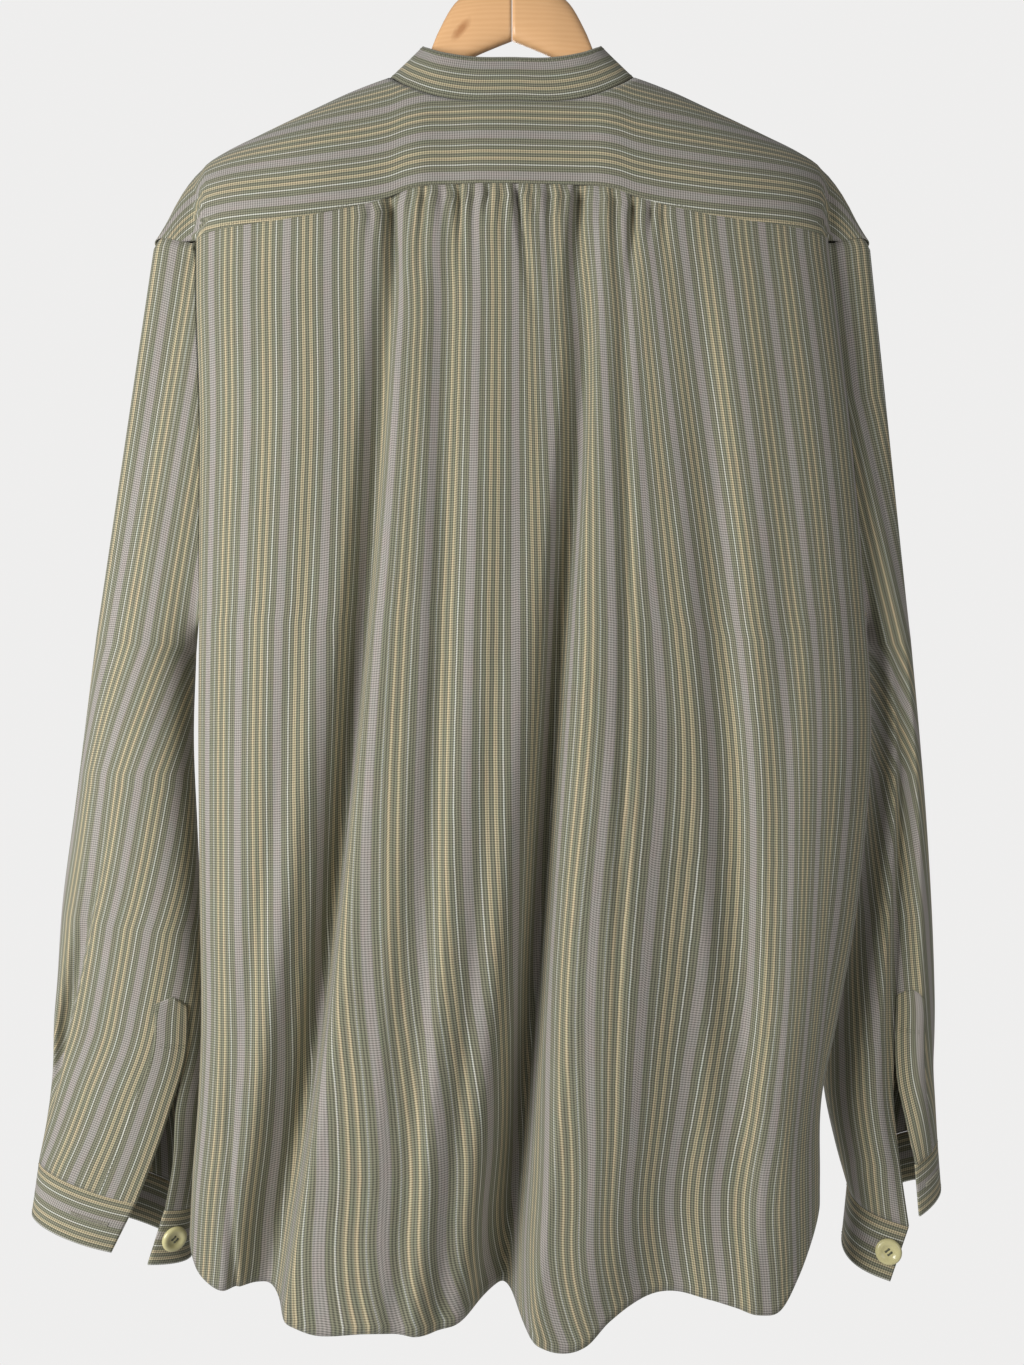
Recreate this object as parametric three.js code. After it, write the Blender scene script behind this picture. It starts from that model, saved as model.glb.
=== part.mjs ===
// Mandarin collar shirt, long sleeved, hanging on a plain wooden hanger.
//
// Millimetres. +X is the wearer's right, +Y is the wearer's front and +Z is up, so the back of the
// shirt faces -Y. The origin is the inner top of the hook, where a rail carries it. Each cut piece of
// cloth is a thin wall: a drape function gives its outer face, and the inner face lies one cloth
// thickness behind it. Neighbours stop short of each other at each seam.
import * as THREE from "three";

// Driving dimensions
const CLOTH = 1.5;                  // wall of a single or faced cloth piece
const CUFF_CLOTH = 2;               // cuffs and the collar band are double
const SEAM_GAP = 0.35;              // clearance between two pieces that are sewn together
const COLLAR_HEIGHT = 30.5;
const CUFF_HEIGHT = 38;
const BAND_WIDTH = 30;              // button band down the front
const BUTTON_DIAMETER = 18;
const BUTTON_HEIGHT = 4.2;
const BUTTON_PITCH = 92;            // from one front button to the next
const FRONT_BUTTONS = 7;
const FIRST_BUTTON_Z = -262;
const COLLAR_BUTTON_TURN = 0.028;   // along the collar from its lapped end
const CUFF_BUTTON_TURN = 0.955;     // along the cuff from its overlap end
const HOOK_WIRE = 3.6;
const HOOK_RADIUS = 24;             // centre line of the hook's bend
const SHOULDER_X = 214;             // where the back panel, the yoke and the sleeve meet
const SHOULDER_OVERHANG = 32;       // the yoke reaches past that point over the hanger's end
const UNDERARM_Z = -480;
const ARMHOLE_GAP = 0.8;            // the sleeve's head stands this far off the body's edges
const ARMHOLE_DROP = 1.8;
const NECK_CORNER_X = 76;           // where the neckline crosses the yoke's front seam
const NECK_FRONT_Z = -206;
const BACK_Y = -26;                 // plain depth of the back panel at its middle
const THROAT = 14;                  // how far the fronts fall back beside the neck
const SEAM_Y = 20;                  // depth of the side seams below the underarm
const WAVES = 12;                   // tucks gathered into the yoke seam
const WAVE_LEFT = -80;
const WAVE_RIGHT = 104;
const WAVE_DEPTH = 2.2;
const WAVE_FADE = 150;              // how far down the tucks run out

// Ridge of the shoulder, from the neck to the sleeve seam
const RIDGE = [
  { x: 0, z: -108 }, { x: 54, z: -114 }, { x: 80, z: -120 }, { x: 107, z: -128.5 }, { x: 130, z: -137.5 },
  { x: 152, z: -146 }, { x: 173, z: -154 }, { x: 195, z: -162 }, { x: 214, z: -171 }, { x: 224, z: -181 },
  { x: 231, z: -192 }, { x: 236, z: -203 }, { x: 241, z: -214 }, { x: 246, z: -226 },
];
const YOKE_BACK = [
  { x: 0, z: -202 }, { x: 50, z: -203 }, { x: 68, z: -206 }, { x: 82, z: -211 }, { x: 116, z: -219 },
  { x: 150, z: -224 }, { x: 198, z: -227 }, { x: 214, z: -228 }, { x: 246, z: -233 },
];
const YOKE_FRONT = [
  { x: 0, z: -150 }, { x: 76, z: -161 }, { x: 110, z: -173 }, { x: 152, z: -191 }, { x: 195, z: -215 },
  { x: 214, z: -228 }, { x: 246, z: -233 },
];
// Neckline on the yoke: across is 0 on the shoulder ridge, -1 at the back seam and 1 at the front seam
const NECKLINE = [
  { x: 0, across: -0.593 }, { x: 30, across: -0.575 }, { x: 54, across: -0.509 }, { x: 72, across: -0.36 },
  { x: 81, across: -0.17 }, { x: 83.5, across: 0.05 }, { x: 82.5, across: 0.35 }, { x: 80, across: 0.68 },
  { x: NECK_CORNER_X, across: 1 },
];
// Widest line of the body, left and right, by height
const SIDES = [
  { z: -200, left: 214, right: 214 }, { z: -228, left: 214, right: 214 }, { z: -268, left: 214, right: 219 },
  { z: -350, left: 212, right: 229 }, { z: -443, left: 213, right: 238 }, { z: -560, left: 214, right: 245 },
  { z: -674, left: 213, right: 236 }, { z: -755, left: 212, right: 222 }, { z: -810, left: 214, right: 211 },
  { z: -864, left: 218, right: 210 }, { z: -960, left: 222, right: 209 },
];
const BACK_HEM = [
  { x: -222, z: -896 }, { x: -211, z: -920 }, { x: -197, z: -931 }, { x: -180, z: -932 },
  { x: -163, z: -934 }, { x: -146, z: -942 }, { x: -126, z: -948 }, { x: -90, z: -946 }, { x: -60, z: -950 },
  { x: -40, z: -949 }, { x: -22, z: -941 }, { x: -8, z: -936 }, { x: 3, z: -941 }, { x: 14, z: -952 },
  { x: 31, z: -958 },
  { x: 48, z: -954 }, { x: 63, z: -941 }, { x: 86, z: -930 }, { x: 104, z: -928 }, { x: 132, z: -933 },
  { x: 164, z: -940 }, { x: 177, z: -937 }, { x: 190, z: -918 }, { x: 200, z: -899 }, { x: 210, z: -878 },
];
const FRONT_HEM = [
  { x: -222, z: -896 }, { x: -205, z: -912 }, { x: -170, z: -926 }, { x: -110, z: -934 }, { x: 0, z: -938 },
  { x: 110, z: -934 }, { x: 165, z: -922 }, { x: 195, z: -900 }, { x: 210, z: -878 },
];
// Soft folds. Each row gives the fold's line and depth at four heights, and how far it eases off on its
// left and on its right. Depth is along +Y, so a fold of the back is a valley seen from behind.
const FOLD_LEVELS = [-235, -500, -740, -935];
const BACK_FOLDS = [
  { x: [-84, -106, -136, -170], depth: [2, 10, 24, 44], left: 60, right: 26 },
  { x: [42, 30, 14, -8], depth: [2, 11, 27, 46], left: 66, right: 25 },
  { x: [110, 120, 128, 108], depth: [1, 7, 15, 22], left: 70, right: 52 },
  { x: [-40, -44, -66, -74], depth: [1, 4, 5, 3], left: 20, right: 20 },
];
const FRONT_FOLDS = [
  { x: [-120, -126, -132, -140], depth: [1, 6, 12, 18], left: 36, right: 34 },
  { x: [-60, -62, -66, -70], depth: [1, -4, -9, -14], left: 30, right: 28 },
  { x: [66, 66, 62, 60], depth: [1, -4, -8, -13], left: 30, right: 30 },
  { x: [124, 128, 128, 126], depth: [1, 6, 12, 17], left: 34, right: 38 },
];
// Depth of the fronts at their middle
const FRONT_MIDDLE = [{ z: -150, y: 46 }, { z: -206, y: 48 }, { z: -400, y: 64 }, { z: -940, y: 66 }];
// Sleeve sections below the underarm. Out and in are distances from the middle of the shirt, y and
// deep the section's middle and half depth, tilt how much deeper its outer edge lies, rise how much
// higher its outer edge hangs and sag how much lower the underlap hangs than the overlap. Over and
// under are the angles of the slit's two edges, from the outer edge round to the back. Dent is how far
// the lengthwise fold beside the slit is pushed in.
const SLEEVE_SIZES = ["out", "in", "y", "deep", "tilt", "rise", "sag", "over", "under", "dent"];
const SLEEVE_LEFT = [
  { z: -500, out: 294, in: 222, y: 48, deep: 30, tilt: 6, rise: 6, sag: 0, over: 147, under: 147, dent: 0 },
  { z: -560, out: 303, in: 224, y: 51, deep: 31, tilt: 8, rise: 6, sag: 0, over: 147, under: 147, dent: 0 },
  { z: -620, out: 312, in: 222, y: 54, deep: 31, tilt: 9, rise: 6, sag: 0, over: 147, under: 147, dent: 0 },
  { z: -690, out: 322, in: 219, y: 56, deep: 30, tilt: 9, rise: 6, sag: 0, over: 147, under: 147, dent: 0 },
  { z: -748, out: 326, in: 217, y: 57, deep: 28, tilt: 8, rise: 8, sag: 0, over: 147, under: 147, dent: 0 },
  { z: -777, out: 328, in: 217, y: 57, deep: 27, tilt: 7, rise: 9, sag: 0, over: 145, under: 145, dent: 0 },
  { z: -815, out: 328, in: 219, y: 56, deep: 27, tilt: 5, rise: 11, sag: 0, over: 132, under: 137, dent: 0 },
  { z: -850, out: 331, in: 222, y: 56, deep: 28, tilt: 2, rise: 13, sag: 1, over: 121, under: 138, dent: 0 },
  { z: -880, out: 335, in: 225, y: 54, deep: 29, tilt: 0, rise: 16, sag: 2, over: 112, under: 135, dent: 0 },
];
const SLEEVE_RIGHT = [
  { z: -500, out: 278, in: 248, y: 48, deep: 31, tilt: -3, rise: 4, sag: 0, over: 92, under: 92, dent: 2 },
  { z: -560, out: 284, in: 252, y: 51, deep: 34, tilt: -4, rise: 2, sag: 0, over: 90, under: 90, dent: 7 },
  { z: -620, out: 290, in: 248, y: 54, deep: 36, tilt: -5, rise: 0, sag: 0, over: 88, under: 88, dent: 12 },
  { z: -690, out: 295, in: 240, y: 56, deep: 36, tilt: -6, rise: 0, sag: 0, over: 86, under: 86, dent: 15 },
  { z: -750, out: 298, in: 229, y: 58, deep: 35, tilt: -6, rise: 2, sag: 0, over: 82, under: 82, dent: 16 },
  { z: -779, out: 298, in: 224, y: 58, deep: 34, tilt: -6, rise: 6, sag: 2, over: 80, under: 80, dent: 15 },
  { z: -806, out: 298, in: 224, y: 58, deep: 33, tilt: -4, rise: 9, sag: 14, over: 78, under: 82, dent: 12 },
  { z: -836, out: 300, in: 231, y: 58, deep: 31, tilt: -2, rise: 13, sag: 28, over: 76, under: 83, dent: 6 },
  { z: -864, out: 302, in: 240, y: 58, deep: 30, tilt: 0, rise: 16, sag: 40, over: 75, under: 84, dent: 0 },
];
const SLIT_TOP_Z = -777;
// How far the cuff's lower edge stands from its upper edge, from the overlap round to the underlap
const CUFF_FALL_LEFT = [
  { turn: 0, out: 17, z: -34 }, { turn: 0.3, out: 5, z: -36 }, { turn: 0.6, out: 0, z: -CUFF_HEIGHT },
  { turn: 0.85, out: 3, z: -CUFF_HEIGHT }, { turn: 1, out: 12, z: -CUFF_HEIGHT },
];
const CUFF_FALL_RIGHT = [
  { turn: 0, out: 3, z: -36 }, { turn: 0.3, out: 2, z: -36 }, { turn: 0.6, out: -2, z: -CUFF_HEIGHT },
  { turn: 0.8, out: -7, z: -CUFF_HEIGHT }, { turn: 1, out: -13, z: -CUFF_HEIGHT },
];
const CREASE_DEGREES = 26;
// Wooden arm, from the joint at the neck to the shoulder: upper edge, lower edge, depth of its middle
// and half thickness
const ARM = [
  { x: 0.2, top: -60, bottom: -97, y: 0, half: 7 },
  { x: 12, top: -60.5, bottom: -101.5, y: 0.4, half: 7.2 },
  { x: 26, top: -64, bottom: -107, y: 1.6, half: 7.5 },
  { x: 39, top: -72, bottom: -113, y: 3.7, half: 7.6 },
  { x: 50, top: -91, bottom: -119, y: 5.4, half: 7.6 },
  { x: 57, top: -108, bottom: -124, y: 5.8, half: 7.6 },
  { x: 70, top: -122.5, bottom: -134, y: 6, half: 8 },
  { x: 90, top: -127.5, bottom: -146, y: 7.4, half: 8.4 },
  { x: 120, top: -136.8, bottom: -160, y: 10.9, half: 9 },
  { x: 150, top: -148.3, bottom: -173, y: 16.3, half: 9.6 },
  { x: 180, top: -159.8, bottom: -186, y: 23.3, half: 10 },
  { x: 200, top: -168, bottom: -194, y: 28.7, half: 10 },
  { x: 209, top: -173.8, bottom: -197, y: 31.4, half: 9 },
  { x: 215, top: -181, bottom: -195, y: 33.2, half: 6 },
];

// Finishes
const SHIRT_CLOTH = new THREE.MeshStandardMaterial({ color: 0x7d8068, roughness: 0.9, metalness: 0 });
const YOKE_CLOTH = new THREE.MeshStandardMaterial({ color: 0x858172, roughness: 0.9, metalness: 0 });
const BUTTON_RESIN = new THREE.MeshStandardMaterial({ color: 0xdcd7a0, roughness: 0.3, metalness: 0 });
const HANGER_WOOD = new THREE.MeshStandardMaterial({ color: 0xe7b077, roughness: 0.45, metalness: 0 });
const HOOK_STEEL = new THREE.MeshStandardMaterial({ color: 0xb9bcc0, roughness: 0.25, metalness: 1 });

const shirt = new THREE.Group();

const lerp = THREE.MathUtils.lerp;
const clamp = THREE.MathUtils.clamp;

// A smooth curve through a table's rows: the value of one column where another column has a given value
function read(table, from, to, at) {
  const rising = table[table.length - 1][from] > table[0][from];
  const sign = rising ? 1 : -1;
  const low = table[0][from] * sign;
  const high = table[table.length - 1][from] * sign;
  const where = clamp(at * sign, low, high);
  let i = 0;
  while (i < table.length - 2 && where > table[i + 1][from] * sign) i += 1;
  const slope = (a, b) => (table[b][to] - table[a][to]) / ((table[b][from] - table[a][from]) * sign);
  const step = (table[i + 1][from] - table[i][from]) * sign;
  const t = (where - table[i][from] * sign) / step;
  const before = slope(Math.max(i - 1, 0), i + 1);
  const after = slope(i, Math.min(i + 2, table.length - 1));
  const t2 = t * t;
  const t3 = t2 * t;
  return table[i][to] * (2 * t3 - 3 * t2 + 1) + before * step * (t3 - 2 * t2 + t)
    + table[i + 1][to] * (3 * t2 - 2 * t3) + after * step * (t3 - t2);
}

// A closed wall behind a face of quads. Points are the outer face's, each quad four of their numbers.
function wall(name, points, quads, thickness, material) {
  const normals = points.map(() => new THREE.Vector3());
  const edges = new Map();
  for (const quad of quads) {
    const across = new THREE.Vector3().subVectors(points[quad[2]], points[quad[0]]);
    const along = new THREE.Vector3().subVectors(points[quad[3]], points[quad[1]]);
    const normal = across.cross(along);
    quad.forEach((corner, k) => {
      const next = quad[(k + 1) % 4];
      normals[corner].add(normal);
      if (corner !== next) edges.set(`${corner}_${next}`, [corner, next]);
    });
  }
  const inner = points.map((point, k) => point.clone().addScaledVector(normals[k].normalize(), -thickness));
  const positions = [...points, ...inner].flatMap((point) => [point.x, point.y, point.z]);
  const count = points.length;
  const faces = [];
  const addQuad = (a, b, c, d) => {
    if (a !== b && b !== c && c !== a) faces.push(a, b, c);
    if (a !== c && c !== d && d !== a) faces.push(a, c, d);
  };
  for (const [a, b, c, d] of quads) {
    addQuad(a, b, c, d);
    addQuad(d + count, c + count, b + count, a + count);
  }
  for (const [from, to] of edges.values()) {
    if (!edges.has(`${to}_${from}`)) addQuad(to, from, from + count, to + count);
  }
  const geometry = new THREE.BufferGeometry();
  geometry.setAttribute("position", new THREE.Float32BufferAttribute(positions, 3));
  geometry.setIndex(faces);
  const mesh = new THREE.Mesh(geometry, material);
  mesh.name = name;
  shirt.add(mesh);
}

// A flat cloth of columns by rows laid on a drape function
function sheet(name, columns, rows, drape, thickness, material) {
  const points = [];
  const quads = [];
  for (let j = 0; j <= rows; j += 1) {
    for (let i = 0; i <= columns; i += 1) points.push(drape(i / columns, j / rows, i, j));
  }
  for (let j = 0; j < rows; j += 1) {
    for (let i = 0; i < columns; i += 1) {
      const a = j * (columns + 1) + i;
      quads.push([a, a + columns + 1, a + columns + 2, a + 1]);
    }
  }
  wall(name, points, quads, thickness, material);
}

// Shoulders and body
function ridgeY(x) {
  return 38 * (Math.min(Math.abs(x), 246) / 230) ** 2;
}

// One fold's push along Y: a bell that eases off over a different width on each side
function foldDepth(folds, x, z) {
  let sum = 0;
  for (const fold of folds) {
    const rows = FOLD_LEVELS.map((level, k) => ({ z: level, x: fold.x[k], depth: fold.depth[k] }));
    const away = x - read(rows, "z", "x", z);
    const turn = Math.min(Math.abs(away) / (away < 0 ? fold.left : fold.right), 1);
    sum += read(rows, "z", "depth", z) * 0.5 * (1 + Math.cos(Math.PI * turn));
  }
  return sum;
}

function halfWidth(x, z) {
  return read(SIDES, "z", x < 0 ? "left" : "right", z);
}

// Above the underarm the back's and the front's edges part, and the sleeve goes in between
function sideY(z, front) {
  const open = clamp((z - UNDERARM_Z) / (-228 - UNDERARM_Z), 0, 1);
  const spread = Math.sqrt(open);
  return front ? SEAM_Y + 0.3 + 31 * spread : SEAM_Y - 0.3 - 8 * spread;
}

function roundOff(x, z) {
  const q = Math.min(Math.abs(x) / halfWidth(x, z), 1);
  return Math.sqrt(1 - q ** 4);
}

// A point's place across depends on its height, and its height on its place across
function settle(acrossAt, heightAt) {
  let z = -500;
  for (let pass = 0; pass < 6; pass += 1) z = heightAt(acrossAt(z));
  return { x: acrossAt(z), z };
}

function tucks(x, z) {
  if (x < WAVE_LEFT || x > WAVE_RIGHT) return 0;
  const turn = (x - WAVE_LEFT) / (WAVE_RIGHT - WAVE_LEFT);
  const fade = clamp(1 - (read(YOKE_BACK, "x", "z", Math.abs(x)) - z) / WAVE_FADE, 0, 1);
  const ease = Math.min(1, 6 * Math.min(turn, 1 - turn));
  return WAVE_DEPTH * ease * fade * fade * Math.sin(2 * Math.PI * WAVES * turn);
}

function backY(x, z) {
  const side = sideY(z, false);
  const round = roundOff(x, z);
  const lean = 8 * clamp((-228 - z) / 700, 0, 1);
  return side + (BACK_Y - lean - side) * round + foldDepth(BACK_FOLDS, x, z) * round;
}

function frontY(x, z) {
  const side = sideY(z, true);
  const middle = read(FRONT_MIDDLE, "z", "y", z);
  const round = roundOff(x, z);
  const throat = THROAT * clamp((z + 250) / 90, 0, 1) ** 2 * clamp(Math.abs(x) / 70, 0, 1) ** 2;
  return side + (middle - throat - side) * round + foldDepth(FRONT_FOLDS, x, z) * round;
}

// The yoke's face over the ridge: a quarter ellipse down to its back seam, another to its front seam
function yokePoint(x, across) {
  const far = Math.abs(x);
  const ridgeZ = read(RIDGE, "x", "z", far);
  const seamZ = read(across < 0 ? YOKE_BACK : YOKE_FRONT, "x", "z", far);
  const seamY = across < 0 ? backY(x, seamZ) : frontY(x, seamZ);
  const angle = Math.abs(across) * Math.PI / 2;
  return new THREE.Vector3(x, lerp(ridgeY(x), seamY, Math.sin(angle)), lerp(seamZ, ridgeZ, Math.cos(angle)));
}

function shoulderX(across) {
  return SHOULDER_X - SEAM_GAP / 2 + SHOULDER_OVERHANG * Math.sqrt(Math.max(1 - across ** 4, 0));
}

function neckFrontZ(x) {
  const corner = read(YOKE_FRONT, "x", "z", NECK_CORNER_X);
  const turn = Math.min(Math.abs(x) / NECK_CORNER_X, 1);
  return lerp(NECK_FRONT_Z, corner, turn ** 2.2);
}

// Yoke: rows run out from the neckline to the armholes and the back seam
const YOKE_END_COLUMNS = 12;
const YOKE_BACK_COLUMNS = 24;
const YOKE_ROWS = 8;
function yokeRow(step) {
  const last = 2 * YOKE_END_COLUMNS + YOKE_BACK_COLUMNS;
  const side = step < last / 2 ? -1 : 1;
  const k = Math.min(step, last - step);
  const table = NECKLINE.map((row, index) => ({ turn: index / (NECKLINE.length - 1), ...row }));
  const turn = 1 - k / (last / 2);
  const neck = { x: side * read(table, "turn", "x", turn), across: read(table, "turn", "across", turn) };
  if (k <= YOKE_END_COLUMNS) {
    const across = 1 - 2 * k / YOKE_END_COLUMNS;
    return { neck, edge: { x: side * shoulderX(across), across } };
  }
  const edgeTurn = (k - YOKE_END_COLUMNS) / (YOKE_BACK_COLUMNS / 2);
  return { neck, edge: { x: side * lerp(shoulderX(1), 0, edgeTurn), across: -1 } };
}
sheet("yoke", 2 * YOKE_END_COLUMNS + YOKE_BACK_COLUMNS, YOKE_ROWS, (u, v, i) => {
  const { neck, edge } = yokeRow(i);
  return yokePoint(lerp(neck.x, edge.x, v), lerp(neck.across, edge.across, v));
}, CLOTH, YOKE_CLOTH);

// Columns of the back panel are close together where it is gathered
const BACK_SIDE_COLUMNS = 13;
const BACK_WAVE_COLUMNS = 44;
const BACK_ROWS = 16;
function backAcross(i, z) {
  const left = -halfWidth(-1, z);
  const right = halfWidth(1, z);
  const bend = (t) => Math.sin(t * Math.PI / 2);
  if (i <= BACK_SIDE_COLUMNS) return lerp(WAVE_LEFT, left, bend(1 - i / BACK_SIDE_COLUMNS));
  const past = i - BACK_SIDE_COLUMNS - BACK_WAVE_COLUMNS;
  if (past >= 0) return lerp(WAVE_RIGHT, right, bend(past / BACK_SIDE_COLUMNS));
  return lerp(WAVE_LEFT, WAVE_RIGHT, (i - BACK_SIDE_COLUMNS) / BACK_WAVE_COLUMNS);
}
sheet("back_panel", 2 * BACK_SIDE_COLUMNS + BACK_WAVE_COLUMNS, BACK_ROWS, (u, v, i) => {
  const drop = v ** 1.25;
  const { x, z } = settle((level) => backAcross(i, level), (across) => {
    const top = read(YOKE_BACK, "x", "z", Math.abs(across)) - SEAM_GAP - 0.2;
    return lerp(top, read(BACK_HEM, "x", "z", across), drop);
  });
  return new THREE.Vector3(x, backY(x, z) + tucks(x, z), z);
}, CLOTH, SHIRT_CLOTH);

// Fronts: the left laps over the right, and the button band lies on the left one's edge
const FRONT_COLUMNS = 16;
const FRONT_ROWS = 14;
function frontTop(x) {
  const far = Math.abs(x);
  return far < NECK_CORNER_X ? neckFrontZ(x) : read(YOKE_FRONT, "x", "z", far);
}
function frontZ(x, v) {
  return lerp(frontTop(x) - SEAM_GAP - 0.2, read(FRONT_HEM, "x", "z", x), v);
}
function frontPoint(x, z, under) {
  const sunk = under * clamp((60 - Math.abs(x)) / 30, 0, 1);
  return new THREE.Vector3(x, frontY(x, z) - sunk, z);
}
function frontAcross(side, t, z) {
  const inner = side * -BAND_WIDTH / 2;
  const corner = side * NECK_CORNER_X;
  const cornerAt = 6 / FRONT_COLUMNS;
  if (t <= cornerAt) return lerp(inner, corner, t / cornerAt);
  return lerp(corner, side * halfWidth(side, z), Math.sin((t - cornerAt) / (1 - cornerAt) * Math.PI / 2));
}
for (const [name, side, under] of [["front_left", -1, 0], ["front_right", 1, CLOTH + 0.6]]) {
  sheet(name, FRONT_COLUMNS, FRONT_ROWS, (u, v) => {
    const t = side < 0 ? u : 1 - u;
    const { x, z } = settle((level) => frontAcross(side, t, level), (across) => frontZ(across, v));
    return frontPoint(x, z, under);
  }, CLOTH, SHIRT_CLOTH);
}

function bandPoint(x, v, lift) {
  const point = frontPoint(x, frontZ(x, v), 0);
  return point.setY(point.y + lift);
}
sheet("front_band", 3, 24, (u, v) => bandPoint(lerp(BAND_WIDTH / 2, -BAND_WIDTH / 2, u), v, CLOTH + 0.4),
  CLOTH, SHIRT_CLOTH);

// Neck seam, from the left end past the middle of the front, round the back, to the right end
function neckSeam() {
  const points = [];
  const frontXs = [60, 42, 24, 8, -BAND_WIDTH / 2];
  const frontSide = (side, lift) => frontXs.map((x) => {
    const z = neckFrontZ(x);
    return new THREE.Vector3(side * x, frontY(side * x, z) + lift, z);
  });
  points.push(...frontSide(-1, 2.6).reverse());
  points.push(...NECKLINE.slice(1).reverse().map((row) => yokePoint(-row.x, row.across)));
  points.push(...NECKLINE.map((row) => yokePoint(row.x, row.across)));
  points.push(...frontSide(1, -0.6));
  return new THREE.CatmullRomCurve3(points, false, "centripetal");
}
const NECK_SEAM = neckSeam();
const COLLAR_LIFT = 0.7;
const COLLAR_INSET = 0.7;
const NECK_MIDDLE = new THREE.Vector3(0, 14, 0);
function collarPoint(u, v) {
  const seam = NECK_SEAM.getPointAt(u);
  const inward = new THREE.Vector3().subVectors(NECK_MIDDLE, seam).setZ(0);
  inward.normalize();
  const lean = THREE.MathUtils.degToRad(lerp(9, 47, Math.min(Math.abs(seam.x) / 84, 1) ** 4));
  const end = Math.min(u, 1 - u) * NECK_SEAM.getLength();
  const corner = end < 12 ? 6 * (1 - Math.sqrt(1 - (1 - end / 12) ** 2)) : 0;
  const height = COLLAR_LIFT + (COLLAR_HEIGHT - corner) * v;
  seam.addScaledVector(inward, COLLAR_INSET + height * Math.sin(lean));
  return seam.setZ(seam.z + height * Math.cos(lean));
}
sheet("collar_band", 52, 3, (u, v) => collarPoint(1 - u, v), CUFF_CLOTH, YOKE_CLOTH);

// Sleeves
const SLEEVE_COLUMNS = 24;
const CAP_ROWS = 7;

// Armhole loop at an angle, from the sleeve's outer edge round to the back
function armhole(side, degrees) {
  const turn = ((degrees % 360) + 360) % 360;
  const back = turn <= 180;
  const away = back ? turn : 360 - turn;
  const cap = 44;
  if (away <= cap) {
    const across = (back ? -1 : 1) * Math.sin(Math.PI / 2 * away / cap);
    const point = yokePoint(side * (shoulderX(across) + ARMHOLE_GAP), across);
    return point.setZ(point.z - ARMHOLE_DROP);
  }
  const t = (away - cap) / (180 - cap);
  const z = lerp(-229, UNDERARM_Z - 1, Math.sin(t * Math.PI / 2));
  return new THREE.Vector3(side * (halfWidth(side, z) + ARMHOLE_GAP), sideY(z, !back), z);
}
function sleeveSection(table, z) {
  const section = { z };
  for (const column of SLEEVE_SIZES) section[column] = read(table, "z", column, z);
  return section;
}
function sectionPoint(side, section, degrees) {
  const angle = THREE.MathUtils.degToRad(degrees);
  const middle = (section.out + section.in) / 2;
  const half = (section.out - section.in) / 2;
  const x = side * (middle + half * Math.cos(angle));
  const past = (degrees - (section.over + section.under) / 2) / CREASE_DEGREES;
  const pinch = Math.abs(past) < 1 ? section.dent * 0.5 * (1 + Math.cos(Math.PI * past)) : 0;
  const y = section.y - section.deep * Math.sin(angle) + section.tilt * Math.cos(angle) + pinch;
  return new THREE.Vector3(x, y, section.z + section.rise * Math.cos(angle));
}
// A point of the sleeve at a height, by its turn from the overlap round the outer edge to the underlap
function sleeveRing(side, table, z, turn) {
  const section = sleeveSection(table, z);
  const degrees = section.over - (360 - (section.under - section.over)) * turn;
  const point = sectionPoint(side, section, turn > 0.5 ? degrees + 360 : degrees);
  const late = Math.max(2 * turn - 1, 0);
  return point.setZ(point.z - section.sag * late * late);
}
function sleevePoint(side, table, row, turn) {
  const down = row - CAP_ROWS;
  if (down >= 0) return sleeveRing(side, table, table[down].z, turn);
  const below = sleeveRing(side, table, table[0].z, turn);
  return armhole(side, table[0].over - 360 * turn).lerp(below, row / CAP_ROWS);
}
function sleeve(name, side, table) {
  const rows = CAP_ROWS + table.length;
  const slitRow = CAP_ROWS + table.findIndex((row) => row.z <= SLIT_TOP_Z) + 1;
  const points = [];
  const index = [];
  for (let j = 0; j < rows; j += 1) {
    index.push([]);
    const open = j >= slitRow;
    for (let i = 0; i <= SLEEVE_COLUMNS; i += 1) {
      if (i === SLEEVE_COLUMNS && !open) {
        index[j].push(index[j][0]);
        continue;
      }
      index[j].push(points.length);
      points.push(sleevePoint(side, table, j, i / SLEEVE_COLUMNS));
    }
  }
  const quads = [];
  for (let j = 0; j < rows - 1; j += 1) {
    for (let i = 0; i < SLEEVE_COLUMNS; i += 1) {
      const quad = [index[j][i], index[j + 1][i], index[j + 1][i + 1], index[j][i + 1]];
      quads.push(side < 0 ? quad.reverse() : quad);
    }
  }
  wall(name, points, quads, CLOTH, SHIRT_CLOTH);
}
sleeve("sleeve_left", -1, SLEEVE_LEFT);
sleeve("sleeve_right", 1, SLEEVE_RIGHT);

// Placket: a strip laid on the sleeve along the slit's overlap edge, with a pointed top. It is made
// from the sleeve's own points, moved out.
const PLACKET_TOP_Z = -745;
const PLACKET_POINT = 4;
const PLACKET_LIFT = 0.9;
const PLACKET_COLUMNS = 2;
function placketPoint(side, table, column, z) {
  const turn = column / SLEEVE_COLUMNS;
  const at = (step) => sleeveRing(side, table, z, turn + step / SLEEVE_COLUMNS);
  const along = at(1).sub(at(-1)).setZ(0).normalize();
  const outward = new THREE.Vector3(side * along.y, -side * along.x, 0);
  return at(0).addScaledVector(outward, PLACKET_LIFT + CLOTH);
}
function placket(name, side, table) {
  const levels = table.map((row) => row.z).filter((z) => z < PLACKET_TOP_Z);
  sheet(name, PLACKET_COLUMNS, levels.length - 1, (u, v, i, j) => {
    const column = side < 0 ? PLACKET_COLUMNS - i : i;
    const point = placketPoint(side, table, column, levels[j]);
    return j === 0 && i === 1 ? point.setZ(point.z + PLACKET_POINT) : point;
  }, CLOTH, SHIRT_CLOTH);
}
placket("placket_left", -1, SLEEVE_LEFT);
placket("placket_right", 1, SLEEVE_RIGHT);

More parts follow.
